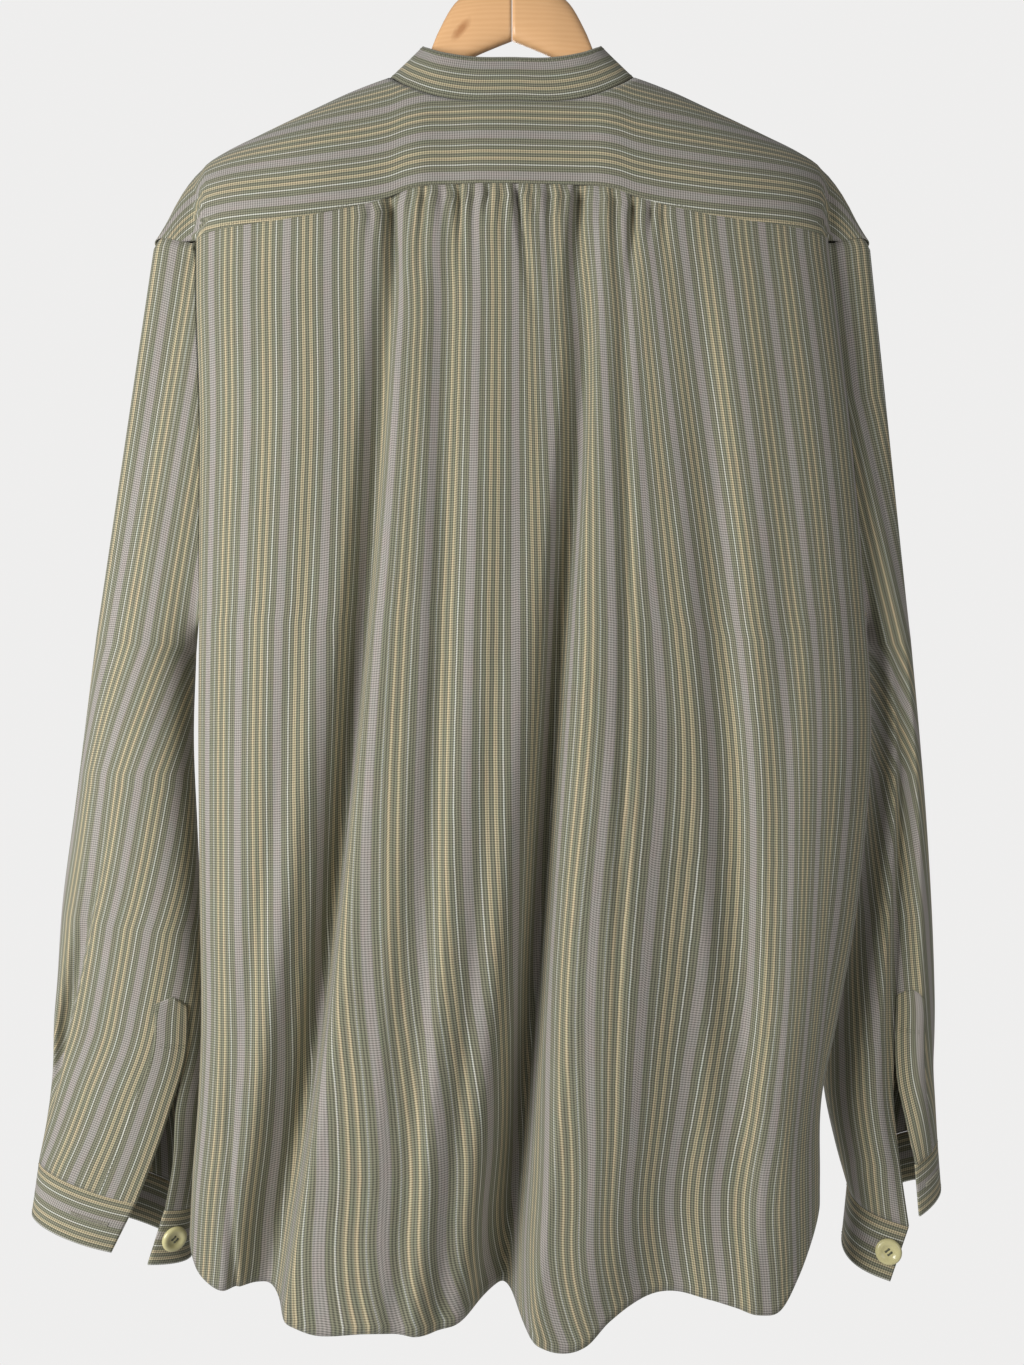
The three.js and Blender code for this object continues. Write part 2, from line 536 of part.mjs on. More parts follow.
// Cuffs hang open from the sleeves' ends
const CUFF_COLUMNS = 22;
function cuffPoint(side, table, fall, turn, v) {
  const top = sleeveRing(side, table, table[table.length - 1].z, turn);
  const start = (SEAM_GAP + 0.4) / CUFF_HEIGHT;
  const reach = lerp(start, 1, v);
  top.x += side * read(fall, "turn", "out", turn) * reach;
  return top.setZ(top.z + read(fall, "turn", "z", turn) * reach);
}
const CUFFS = [
  ["cuff_left", -1, SLEEVE_LEFT, CUFF_FALL_LEFT], ["cuff_right", 1, SLEEVE_RIGHT, CUFF_FALL_RIGHT],
];
for (const [name, side, table, fall] of CUFFS) {
  sheet(name, CUFF_COLUMNS, 2, (u, v) => cuffPoint(side, table, fall, side < 0 ? 1 - u : u, v),
    CUFF_CLOTH, YOKE_CLOTH);
}

// Buttons: a domed disc turned about its own axis, its flat back towards the cloth
function button(name, place, facing) {
  const radius = BUTTON_DIAMETER / 2;
  const profile = [
    [0, 0], [radius * 0.8, 0], [radius, BUTTON_HEIGHT * 0.4], [radius * 0.86, BUTTON_HEIGHT * 0.86],
    [radius * 0.45, BUTTON_HEIGHT], [0, BUTTON_HEIGHT],
  ].map(([r, h]) => new THREE.Vector2(r, h));
  const mesh = new THREE.Mesh(new THREE.LatheGeometry(profile, 14), BUTTON_RESIN);
  mesh.name = name;
  mesh.position.copy(place);
  mesh.quaternion.setFromUnitVectors(new THREE.Vector3(0, 1, 0), facing.clone().normalize());
  shirt.add(mesh);
}
// Seats a button on a drape function at u and v, clear of the cloth's own face by a hair
const BUTTON_SEAT = 0.35;
function seatButton(name, drape, u, v, step, turned = 1) {
  const place = drape(u, v);
  const across = new THREE.Vector3().subVectors(drape(u + step, v), drape(u - step, v));
  const along = new THREE.Vector3().subVectors(drape(u, v + step), drape(u, v - step));
  const facing = across.cross(along).normalize().multiplyScalar(turned);
  button(name, place.addScaledVector(facing, BUTTON_SEAT), facing);
}
for (let k = 0; k < FRONT_BUTTONS; k += 1) {
  const z = FIRST_BUTTON_Z - k * BUTTON_PITCH;
  seatButton(`button_front_${k + 1}`, (x, height) => {
    const point = frontPoint(-x, height, 0);
    return point.setY(point.y + CLOTH + 0.4);
  }, 0, z, -1);
}
seatButton("button_collar", (u, v) => collarPoint(u, v), COLLAR_BUTTON_TURN, 0.52, -0.01);
for (const [name, side, table, fall] of CUFFS) {
  const drape = (u, v) => cuffPoint(side, table, fall, u, v);
  seatButton(`button_${name}`, drape, CUFF_BUTTON_TURN, 0.5, 0.01, -side);
}

// Hanger: two wooden arms that meet at the neck, and a steel hook
function arm(name, side) {
  const sides = 12;
  const points = [];
  const faces = [];
  for (const row of ARM) {
    const middle = (row.top + row.bottom) / 2;
    const half = (row.top - row.bottom) / 2;
    for (let k = 0; k < sides; k += 1) {
      const angle = 2 * Math.PI * k / sides;
      const square = (value) => Math.sign(value) * Math.abs(value) ** 0.75;
      points.push(side * row.x);
      points.push(row.y + row.half * square(Math.cos(angle)));
      points.push(middle + half * square(Math.sin(angle)));
    }
  }
  const add = (a, b, c) => (side > 0 ? faces.push(a, b, c) : faces.push(a, c, b));
  for (let j = 0; j < ARM.length - 1; j += 1) {
    for (let k = 0; k < sides; k += 1) {
      const a = j * sides + k;
      const b = j * sides + (k + 1) % sides;
      add(a, b, b + sides);
      add(a, b + sides, a + sides);
    }
  }
  const end = (ARM.length - 1) * sides;
  for (let k = 1; k < sides - 1; k += 1) {
    add(0, k + 1, k);
    add(end, end + k, end + k + 1);
  }
  const geometry = new THREE.BufferGeometry();
  geometry.setAttribute("position", new THREE.Float32BufferAttribute(points, 3));
  geometry.setIndex(faces);
  const mesh = new THREE.Mesh(geometry, HANGER_WOOD);
  mesh.name = name;
  shirt.add(mesh);
}
arm("hanger_arm_left", -1);
arm("hanger_arm_right", 1);

// Hook: a shank that leans out to one side and a bend over the hang point
function hook() {
  const middleZ = HOOK_WIRE / 2 - HOOK_RADIUS;
  const route = [new THREE.Vector3(0, 0, -59.6), new THREE.Vector3(0, 0, -52)];
  for (let degrees = -48; degrees <= 200; degrees += 24.8) {
    const angle = THREE.MathUtils.degToRad(degrees);
    route.push(new THREE.Vector3(HOOK_RADIUS * Math.cos(angle), 0, middleZ + HOOK_RADIUS * Math.sin(angle)));
  }
  const section = new THREE.Shape();
  for (let k = 0; k < 8; k += 1) {
    const angle = 2 * Math.PI * k / 8;
    const x = HOOK_WIRE / 2 * Math.cos(angle);
    const y = HOOK_WIRE / 2 * Math.sin(angle);
    if (k === 0) section.moveTo(x, y);
    else section.lineTo(x, y);
  }
  section.closePath();
  const geometry = new THREE.ExtrudeGeometry(section, {
    steps: 30, bevelEnabled: false, extrudePath: new THREE.CatmullRomCurve3(route),
  });
  const mesh = new THREE.Mesh(geometry, HOOK_STEEL);
  mesh.name = "hanger_hook";
  shirt.add(mesh);
}
hook();

export default shirt;
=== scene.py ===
"""Mandarin collar shirt on a wooden hanger: cloth, buttons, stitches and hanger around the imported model.

Laid out as an add-on and run as a script. Tables and drape functions are in millimetres, as a pattern
cutter writes them, and each piece is brought to metres when its mesh is made. +X is the wearer's right,
+Y the wearer's front and +Z up, so the back faces -Y. Each piece of cloth starts as a flat grid. Its
vertices are moved on to a drape function, and its UV map keeps the place of each one on the flat cloth,
which the stripes and the weave follow.
"""
import math
from functools import partial

import bmesh
import bpy
import numpy as np
from mathutils import Matrix, Vector

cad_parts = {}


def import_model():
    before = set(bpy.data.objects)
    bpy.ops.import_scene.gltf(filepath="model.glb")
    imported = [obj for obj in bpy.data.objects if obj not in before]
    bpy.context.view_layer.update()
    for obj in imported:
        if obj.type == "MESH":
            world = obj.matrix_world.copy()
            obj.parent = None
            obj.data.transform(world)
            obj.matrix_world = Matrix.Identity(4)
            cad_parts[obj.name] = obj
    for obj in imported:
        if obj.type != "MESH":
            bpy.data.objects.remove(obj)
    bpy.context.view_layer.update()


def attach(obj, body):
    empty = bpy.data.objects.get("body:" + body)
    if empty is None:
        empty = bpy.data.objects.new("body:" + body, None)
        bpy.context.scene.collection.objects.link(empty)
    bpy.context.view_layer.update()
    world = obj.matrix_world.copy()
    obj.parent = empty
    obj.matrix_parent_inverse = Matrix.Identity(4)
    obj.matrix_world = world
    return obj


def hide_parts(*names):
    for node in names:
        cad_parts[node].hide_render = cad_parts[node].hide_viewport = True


bl_info = {
    "name": "Mandarin collar shirt",
    "version": (1, 0, 0),
    "blender": (4, 5, 0),
    "location": "View3D > Sidebar > Shirt",
    "description": "Makes a striped band collar shirt that hangs on a wooden hanger",
    "category": "Object",
}

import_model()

MM = 0.001


# Tables
def table(columns, *rows):
    """A table with named columns, as one array for each."""
    return dict(zip(columns.split(), np.array(rows, float).T))


COLLAR_HEIGHT = 30.5
CUFF_HEIGHT = 38.0
BAND_WIDTH = 30.0
BAND_LIFT = 1.9                     # the button band's face over the left front's
FRONT_LAP = 2.1                     # how far the right front lies under the left one
SHOULDER_X = 214.0
SHOULDER_OVERHANG = 32.0
UNDERARM_Z = -480.0
NECK_CORNER_X = 76.0
NECK_FRONT_Z = -206.0
BACK_Y = -26.0
SEAM_Y = 20.0
THROAT = 14.0
SEAM_GAP = 0.35
CAP_TURN = 44.0                     # degrees of the armhole that the yoke's end takes on each side
CAP_SHARE = 0.38                    # how much of the sleeve's length passes over into the armhole's curve
SLIT_TOP_Z = -777.0
PLACKET_TOP_Z = -745.0
PLACKET_TURN = 1 / 12               # how much of the way round the sleeve the placket takes
YOKE_SEAM_Z = -228.0                # where the yoke's seams meet the armhole
BACK_FALL = 700.0                   # from that seam down to the start of the hem's curve
BACK_LEAN = 8.0                     # how much deeper the back hangs at its foot than at the yoke

RIDGE = table(
    "x z", (0, -108), (54, -114), (80, -120), (107, -128.5), (130, -137.5), (152, -146), (173, -154),
    (195, -162), (214, -171), (224, -181), (231, -192), (236, -203), (241, -214), (246, -226))
YOKE_BACK = table(
    "x z", (0, -202), (50, -203), (68, -206), (82, -211), (116, -219), (150, -224), (198, -227),
    (214, -228), (246, -233))
YOKE_FRONT = table(
    "x z", (0, -150), (76, -161), (110, -173), (152, -191), (195, -215), (214, -228), (246, -233))
NECKLINE = table(
    "turn x across", (0, 0, -0.593), (1, 30, -0.575), (2, 54, -0.509), (3, 72, -0.36), (4, 81, -0.17),
    (5, 83.5, 0.05), (6, 82.5, 0.35), (7, 80, 0.68), (8, NECK_CORNER_X, 1))
SIDES = table(
    "z left right", (-200, 214, 214), (-228, 214, 214), (-268, 214, 219), (-350, 212, 229),
    (-443, 213, 238), (-560, 214, 245), (-674, 213, 236), (-755, 212, 222), (-810, 214, 211),
    (-864, 218, 210), (-960, 222, 209))
BACK_HEM = table(
    "x z", (-222, -896), (-211, -920), (-197, -931), (-180, -932), (-163, -934), (-146, -942),
    (-126, -948), (-90, -946), (-60, -950), (-40, -949), (-22, -941), (-8, -936), (3, -941),
    (14, -952), (31, -958), (48, -954), (63, -941), (86, -930), (104, -928), (132, -933), (164, -940),
    (177, -937), (190, -918), (200, -899), (210, -878))
FRONT_HEM = table(
    "x z", (-222, -896), (-205, -912), (-170, -926), (-110, -934), (0, -938), (110, -934),
    (165, -922), (195, -900), (210, -878))
FRONT_MIDDLE = table("z y", (-150, 46), (-206, 48), (-400, 64), (-940, 66))
# How far the middle of the lowest grey band of the yoke lies above its back seam
YOKE_GRAIN = table("x rise", (0, 5), (60, 5.6), (93, 7.5), (117, 9.8), (150, 12), (200, 14.5), (246, 15))

# Soft folds: a line and a depth at four heights, and the width of the slope on each side
FOLD_LEVELS = (-235, -500, -740, -935)
BACK_FOLDS = [
    dict(x=(-84, -106, -136, -170), depth=(2, 10, 24, 44), left=60, right=26),
    dict(x=(42, 30, 14, -8), depth=(2, 11, 27, 46), left=66, right=25),
    dict(x=(110, 120, 128, 108), depth=(1, 7, 15, 22), left=70, right=52),
    dict(x=(-40, -44, -66, -74), depth=(1, 4, 5, 3), left=20, right=20),
]
FRONT_FOLDS = [
    dict(x=(-120, -126, -132, -140), depth=(1, 6, 12, 18), left=36, right=34),
    dict(x=(-60, -62, -66, -70), depth=(1, -4, -9, -14), left=30, right=28),
    dict(x=(66, 66, 62, 60), depth=(1, -4, -8, -13), left=30, right=30),
    dict(x=(124, 128, 128, 126), depth=(1, 6, 12, 17), left=34, right=38),
]
# Creases in the valleys of the folds and between them, at their own heights
CREASE_LEVELS = (-232, -330, -500, -740, -935)
BACK_CREASES = [
    dict(x=(-75, -84, -99, -126, -156), depth=(3, 9, 16, 21, 11), left=17, right=9),
    dict(x=(50, 47, 33, 16, -2), depth=(3, 10, 17, 22, 11), left=17, right=9),
    dict(x=(116, 128, 142, 153, 146), depth=(0, 4, 10, 14, 7), left=28, right=15),
    dict(x=(-42, -44, -46, -56, -72), depth=(1, 1.5, 2, 3, 2), left=13, right=10),
    dict(x=(72, 74, 76, 68, 60), depth=(1, 3.5, 3.5, 1.5, 0), left=10, right=6),
    dict(x=(-186, -186, -186, -186, -186), depth=(0, 0, 0, 0.5, 6), left=7, right=4),
    dict(x=(170, 176, 180, 168, 160), depth=(0, 1, 2, 3, 3), left=22, right=16),
    dict(x=(-105, -110, -124, -158, -190), depth=(0, 0, -3, -10, -12), left=20, right=19),
    dict(x=(30, 26, 8, -12, -32), depth=(0, 0, -3, -9, -12), left=19, right=17),
]
# Tucks gathered into the yoke's back seam: middle, depth, half width, length and lean to the right
TUCKS = table(
    "x depth half length lean", (-92, 1.2, 4, 30, 0), (-80, 3.4, 7, 110, 0.06), (-66, 1.0, 4, 40, 0),
    (-57, 1.6, 5, 76, -0.05), (-46, 0.9, 4, 36, 0), (-35, 2.6, 4, 66, 0.04), (-25, 1.2, 5, 90, 0),
    (-15.6, 2.0, 3, 30, -0.05), (-6, 1.0, 4, 50, 0), (2, 2.6, 4, 100, 0.14), (13, 0.9, 4, 40, 0.1),
    (24, 1.6, 5, 84, 0.04), (34, 1.0, 4, 45, 0), (44, 3.6, 8, 120, -0.06), (57, 1.2, 4, 50, 0),
    (66, 1.8, 5, 90, 0.05), (79, 3.0, 5, 96, -0.02), (90, 2.2, 3, 32, 0), (99, 1.0, 5, 50, 0))
GATHER = 2.7                        # deepens all the tucks
PUFF = 1.6                          # how far the gathered cloth stands out just below the yoke

SLEEVE_LEFT = table(
    "z out in y deep tilt rise sag over under dent",
    (-500, 294, 222, 48, 30, 6, 6, 0, 147, 147, 0), (-560, 303, 224, 51, 31, 8, 6, 0, 147, 147, 0),
    (-620, 312, 222, 54, 31, 9, 6, 0, 147, 147, 0), (-690, 322, 219, 56, 30, 9, 6, 0, 147, 147, 0),
    (-748, 326, 217, 57, 28, 8, 8, 0, 147, 147, 0), (-777, 328, 217, 57, 27, 7, 9, 0, 145, 145, 0),
    (-815, 328, 219, 56, 27, 5, 11, 0, 132, 137, 0), (-850, 331, 222, 56, 28, 2, 13, 1, 121, 138, 0),
    (-880, 335, 225, 54, 29, 0, 16, 2, 112, 135, 0))
SLEEVE_RIGHT = table(
    "z out in y deep tilt rise sag over under dent",
    (-500, 278, 248, 48, 31, -3, 4, 0, 92, 92, 2), (-560, 284, 252, 51, 34, -4, 2, 0, 90, 90, 7),
    (-620, 290, 248, 54, 36, -5, 0, 0, 88, 88, 12), (-690, 295, 240, 56, 36, -6, 0, 0, 86, 86, 15),
    (-750, 298, 229, 58, 35, -6, 2, 0, 82, 82, 16), (-779, 298, 224, 58, 34, -6, 6, 2, 80, 80, 15),
    (-806, 298, 224, 58, 33, -4, 9, 14, 78, 82, 12), (-836, 300, 231, 58, 31, -2, 13, 28, 76, 83, 6),
    (-864, 302, 240, 58, 30, 0, 16, 40, 75, 84, 0))
CUFF_FALL_LEFT = table(
    "turn out z", (0, 17, -34), (0.3, 5, -36), (0.6, 0, -38), (0.85, 3, -38), (1, 12, -38))
CUFF_FALL_RIGHT = table(
    "turn out z", (0, 3, -36), (0.3, 2, -36), (0.6, -2, -38), (0.8, -7, -38), (1, -13, -38))
SLEEVES = {"left": (-1, SLEEVE_LEFT, CUFF_FALL_LEFT), "right": (1, SLEEVE_RIGHT, CUFF_FALL_RIGHT)}
CREASE_DEGREES = 26.0
# The roll along the left sleeve's outer side: its height, place round the sleeve and depth
ROLL = table(
    "z degrees depth", (-600, 80, 0), (-680, 66, 4), (-724, 55, 8), (-790, 37, 12), (-830, 26, 2),
    (-850, 22, 0))
ROLL_OUTER = 20.0
ROLL_INNER = 6.0

ARM = table(
    "x top bottom y half", (0.2, -60, -97, 0, 7), (12, -60.5, -101.5, 0.4, 7.2), (26, -64, -107, 1.6, 7.5),
    (39, -72, -113, 3.7, 7.6), (50, -91, -119, 5.4, 7.6), (57, -108, -124, 5.8, 7.6),
    (70, -122.5, -134, 6, 8), (90, -127.5, -146, 7.4, 8.4), (120, -136.8, -160, 10.9, 9),
    (150, -148.3, -173, 16.3, 9.6), (180, -159.8, -186, 23.3, 10), (200, -168, -194, 28.7, 10),
    (209, -173.8, -197, 31.4, 9), (215, -181, -195, 33.2, 6))


# Drape functions
def lerp(a, b, t):
    return a + (b - a) * t


def read(rows, source, target, at):
    """A smooth curve through a table: the target column where the source column has a given value."""
    xs, ys, at = rows[source], rows[target], np.asarray(at, float)
    if xs[-1] < xs[0]:
        xs, at = -xs, -at
    at = np.clip(at, xs[0], xs[-1])
    i = np.searchsorted(xs[1:-1], at, side="left")
    low, high = np.maximum(i - 1, 0), np.minimum(i + 2, len(xs) - 1)
    step = xs[i + 1] - xs[i]
    before = (ys[i + 1] - ys[low]) / (xs[i + 1] - xs[low])
    after = (ys[high] - ys[i]) / (xs[high] - xs[i])
    t = (at - xs[i]) / step
    return (ys[i] * (2 * t**3 - 3 * t**2 + 1) + before * step * (t**3 - 2 * t**2 + t)
            + ys[i + 1] * (3 * t**2 - 2 * t**3) + after * step * (t**3 - t**2))


def place(x, y, z):
    """Points from numbers or arrays of any matching shapes."""
    return np.stack(np.broadcast_arrays(x, y, z), axis=-1).astype(float)


def bell(away, half):
    """1 in the middle, falling softly to 0 at half the width."""
    return 0.5 * (1 + np.cos(np.pi * np.minimum(np.abs(away) / half, 1)))


def ridge_y(x):
    return 38 * (np.minimum(np.abs(x), 246) / 230) ** 2


def fold_depth(folds, x, z, levels=FOLD_LEVELS):
    """How far the folds move the cloth towards +Y: inwards on the back, outwards on the front."""
    depth = 0
    for fold in folds:
        rows = {"z": np.array(levels, float), "x": np.array(fold["x"], float),
                "depth": np.array(fold["depth"], float)}
        away = x - read(rows, "z", "x", z)
        slope = np.where(away < 0, fold["left"], fold["right"])
        depth = depth + read(rows, "z", "depth", z) * bell(away, slope)
    return depth


def half_width(x, z):
    return np.where(x < 0, read(SIDES, "z", "left", z), read(SIDES, "z", "right", z))


def side_y(z, front):
    """The front's or the back's edge: one seam up to the underarm, then apart round the armhole."""
    above = np.clip((z - UNDERARM_Z) / (YOKE_SEAM_Z - UNDERARM_Z), 0, 1)
    spread = above / np.sqrt(above + 0.04)
    return SEAM_Y + 0.3 + 31 * spread if front else SEAM_Y - 0.3 - 8 * spread


def round_off(x, z):
    """1 over most of the width, falling steeply to 0 at the side seams."""
    return np.sqrt(1 - np.minimum(np.abs(x) / half_width(x, z), 1) ** 4)


def settle(across_at, height_at):
    """A point's place across depends on its height, and its height on its place across."""
    z = -500.0
    for _ in range(8):
        z = height_at(across_at(z))
    return across_at(z), z


def down_back(z):
    """From 0 at the yoke's seam to 1 above the hem."""
    return np.clip((YOKE_SEAM_Z - z) / BACK_FALL, 0, 1)


def tucks(x, z):
    """How far the gathers press the back in. They fade and spread on the way down."""
    below = read(YOKE_BACK, "x", "z", np.abs(x)) - z
    depth = 0
    for middle, deep, half, length, lean in zip(*TUCKS.values()):
        fade = np.clip(1 - below / length, 0, 1)
        spread = half * (0.75 + 0.9 * below / length)
        depth = depth + GATHER * deep * fade**1.5 * bell(x - middle - lean * below, spread)
    swell = PUFF * bell(x - 6, 112) * bell(below - 16, 26)
    return depth - swell


def back_y(x, z):
    side = side_y(z, False)
    round_part = round_off(x, z)
    middle = BACK_Y - BACK_LEAN * down_back(z)
    return side + (middle - side) * round_part + fold_depth(BACK_FOLDS, x, z) * round_part


def front_y(x, z):
    side = side_y(z, True)
    middle = read(FRONT_MIDDLE, "z", "y", z)
    round_part = round_off(x, z)
    throat = THROAT * np.clip((z + 250) / 90, 0, 1) ** 2 * np.clip(np.abs(x) / 70, 0, 1) ** 2
    return side + (middle - throat - side) * round_part + fold_depth(FRONT_FOLDS, x, z) * round_part


def yoke_point(x, across):
    """The yoke: across goes from -1 at the back seam over the ridge, 0, to 1 at the front seam."""
    far = np.abs(x)
    back = across < 0
    ridge_z = read(RIDGE, "x", "z", far)
    seam_z = np.where(back, read(YOKE_BACK, "x", "z", far), read(YOKE_FRONT, "x", "z", far))
    seam_y = np.where(back, back_y(x, seam_z), front_y(x, seam_z))
    angle = np.abs(across) * np.pi / 2
    return place(x, lerp(ridge_y(x), seam_y, np.sin(angle)), lerp(seam_z, ridge_z, np.cos(angle)))


def shoulder_x(across):
    """The yoke's end, which reaches out most over the ridge."""
    return SHOULDER_X - SEAM_GAP / 2 + SHOULDER_OVERHANG * np.sqrt(np.maximum(1 - across**4, 0))


def neck_front_z(x):
    corner = read(YOKE_FRONT, "x", "z", NECK_CORNER_X)
    return lerp(NECK_FRONT_Z, corner, np.minimum(np.abs(x) / NECK_CORNER_X, 1) ** 2.2)


def armhole(side, degrees, under=0.0):
    """The sleeve's upper edge, by its turn round the armhole. It can reach in under the yoke's end."""
    turn = np.mod(degrees, 360)
    back = turn <= 180
    away = np.where(back, turn, 360 - turn)
    across = np.where(back, -1, 1) * np.sin(np.pi / 2 * np.minimum(away / CAP_TURN, 1))
    cap = yoke_point(side * (shoulder_x(across) + 0.2 - under), across)
    cap = cap - place(0, 0, np.minimum(0.3 + under, 1.8))
    z = lerp(-229, UNDERARM_Z - 1, np.sin(np.clip((away - CAP_TURN) / (180 - CAP_TURN), 0, 1) * np.pi / 2))
    edge = place(side * (half_width(side, z) + 0.8), np.where(back, side_y(z, False), side_y(z, True)), z)
    return np.where((away <= CAP_TURN)[..., None], cap, edge)


def sleeve_ring(side, rows, z, turn):
    """A point of the sleeve by its height and its turn from the overlap round to the underlap."""
    at = {name: read(rows, "z", name, z) for name in rows if name != "z"}
    under = np.where(z > SLIT_TOP_Z, at["over"], at["under"])
    degrees = at["over"] - (360 - (under - at["over"])) * turn
    degrees = np.where(turn > 0.5, degrees + 360, degrees)
    angle = np.radians(degrees)
    middle, half = (at["out"] + at["in"]) / 2, (at["out"] - at["in"]) / 2
    pinch = at["dent"] * bell(degrees - (at["over"] + under) / 2, CREASE_DEGREES)
    if side < 0:
        past = degrees - read(ROLL, "z", "degrees", z)
        pinch = pinch + read(ROLL, "z", "depth", z) * bell(past, np.where(past < 0, ROLL_OUTER, ROLL_INNER))
    y = at["y"] - at["deep"] * np.sin(angle) + at["tilt"] * np.cos(angle) + pinch
    late = np.maximum(2 * turn - 1, 0)
    height = z + at["rise"] * np.cos(angle) - at["sag"] * late**2
    return place(side * (middle + half * np.cos(angle)), y, height)


def sleeve_point(side, rows, turn, v):
    """The sleeve from the armhole, v 0, to the cuff, v 1."""
    below = np.clip((v - CAP_SHARE) / (1 - CAP_SHARE), 0, 1)
    z = lerp(rows["z"][0], rows["z"][-1], below)
    ring = sleeve_ring(side, rows, z, turn)
    degrees = rows["over"][0] - 360 * turn
    head = armhole(side, degrees, 5 * np.clip(1 - v / 0.004, 0, 1))
    return lerp(head, ring, np.minimum(v / CAP_SHARE, 1)[..., None])


def cuff_point(side, rows, fall, turn, v):
    """The cuff: turn round it from the buttonhole's end, v down it."""
    top = sleeve_ring(side, rows, np.full_like(turn, rows["z"][-1]), turn)
    reach = lerp(0.4 / CUFF_HEIGHT, 1, v)
    out = side * read(fall, "turn", "out", turn) * reach
    return top + place(out, 0, read(fall, "turn", "z", turn) * reach)


def placket_point(side, rows, across, down):
    """The strip along the slit's overlap edge: across from that edge, down from its pointed top."""
    turn = across * PLACKET_TURN
    z = lerp(PLACKET_TOP_Z, rows["z"][-1], down)
    ahead, behind = (sleeve_ring(side, rows, z, turn + step * PLACKET_TURN / 2) for step in (1, -1))
    along = ahead - behind
    along[..., 2] = 0
    along /= np.linalg.norm(along, axis=-1, keepdims=True)
    outward = place(side * along[..., 1], -side * along[..., 0], 0)
    point = sleeve_ring(side, rows, z, turn) + 1.1 * outward
    point[..., 2] += 6 * np.maximum(1 - np.abs(across - 0.5) * 2, 0) * np.maximum(1 - down * 8, 0)
    return point


def front_top(x):
    far = np.abs(x)
    return np.where(far < NECK_CORNER_X, neck_front_z(x), read(YOKE_FRONT, "x", "z", far))


def on_front(x, z, under):
    """A place on a front, which lies under the other one by that much near the middle."""
    return place(x, front_y(x, z) - under * np.clip((60 - np.abs(x)) / 30, 0, 1), z)


def front_point(x, v, under=0.0):
    return on_front(x, lerp(front_top(x) - 0.5, read(FRONT_HEM, "x", "z", x), v), under)


def band_point(x, v):
    return front_point(x, v) + (0, BAND_LIFT, 0)


def neck_seam():
    """The neck seam as close points: left front end, round the back, right front end."""
    xs = np.array((60, 42, 24, 8, -BAND_WIDTH / 2))
    fronts = {side: place(side * xs, front_y(side * xs, neck_front_z(xs)) + lift, neck_front_z(xs))
              for side, lift in ((-1, 2.6), (1, -0.6))}
    left = yoke_point(-NECKLINE["x"][:0:-1], NECKLINE["across"][:0:-1])
    right = yoke_point(NECKLINE["x"], NECKLINE["across"])
    points = np.concatenate((fronts[-1][::-1], left, right, fronts[1]))
    along = np.concatenate(([0], np.cumsum(np.linalg.norm(np.diff(points, axis=0), axis=1) ** 0.5)))
    rows = dict(turn=along, x=points[:, 0], y=points[:, 1], z=points[:, 2])
    fine = np.linspace(0, along[-1], 900)
    curve = np.stack([read(rows, "turn", name, fine) for name in "xyz"], axis=-1)
    length = np.concatenate(([0], np.cumsum(np.linalg.norm(np.diff(curve, axis=0), axis=1))))
    return length, curve


NECK_LENGTH, NECK_CURVE = neck_seam()


def collar_point(u, v, lift=0.0):
    """The collar band: u along it from its left end, v up it. It leans in to the neck."""
    at = u * NECK_LENGTH[-1]
    seam = np.stack([np.interp(at, NECK_LENGTH, NECK_CURVE[:, k]) for k in range(3)], axis=-1)
    inward = place(-seam[..., 0], 14 - seam[..., 1], 0)
    inward /= np.linalg.norm(inward, axis=-1, keepdims=True)
    lean = np.radians(lerp(9, 47, np.minimum(np.abs(seam[..., 0]) / 84, 1) ** 4))
    end = np.minimum(at, NECK_LENGTH[-1] - at)
    corner = np.where(end < 12, 6 * (1 - np.sqrt(np.clip(1 - (1 - end / 12) ** 2, 0, 1))), 0)
    height = 0.7 + (COLLAR_HEIGHT - corner) * v
    reach = 0.7 + height * np.sin(lean) - lift
    return seam + inward * reach[..., None] + place(0, 0, height * np.cos(lean))


# Meshes
def mesh_of(name, shape):
    mesh = bpy.data.meshes.new(name)
    shape.to_mesh(mesh)
    shape.free()
    return mesh


def piece(name, shape, material, slot):
    """A finished piece, smooth and on the part's one body."""
    mesh = mesh_of(name, shape)
    made = bpy.data.objects.new(name, mesh)
    bpy.context.scene.collection.objects.link(made)
    mesh.polygons.foreach_set("use_smooth", [True] * len(mesh.polygons))
    mesh.materials.append(material)
    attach(made, "root")
    return made


def arc(points, axis):
    """Length along a grid of points from its first row or column."""
    steps = np.linalg.norm(np.diff(points, axis=axis), axis=-1)
    start = np.zeros_like(np.take(steps, [0], axis=axis))
    return np.concatenate((start, np.cumsum(steps, axis=axis)), axis=axis)


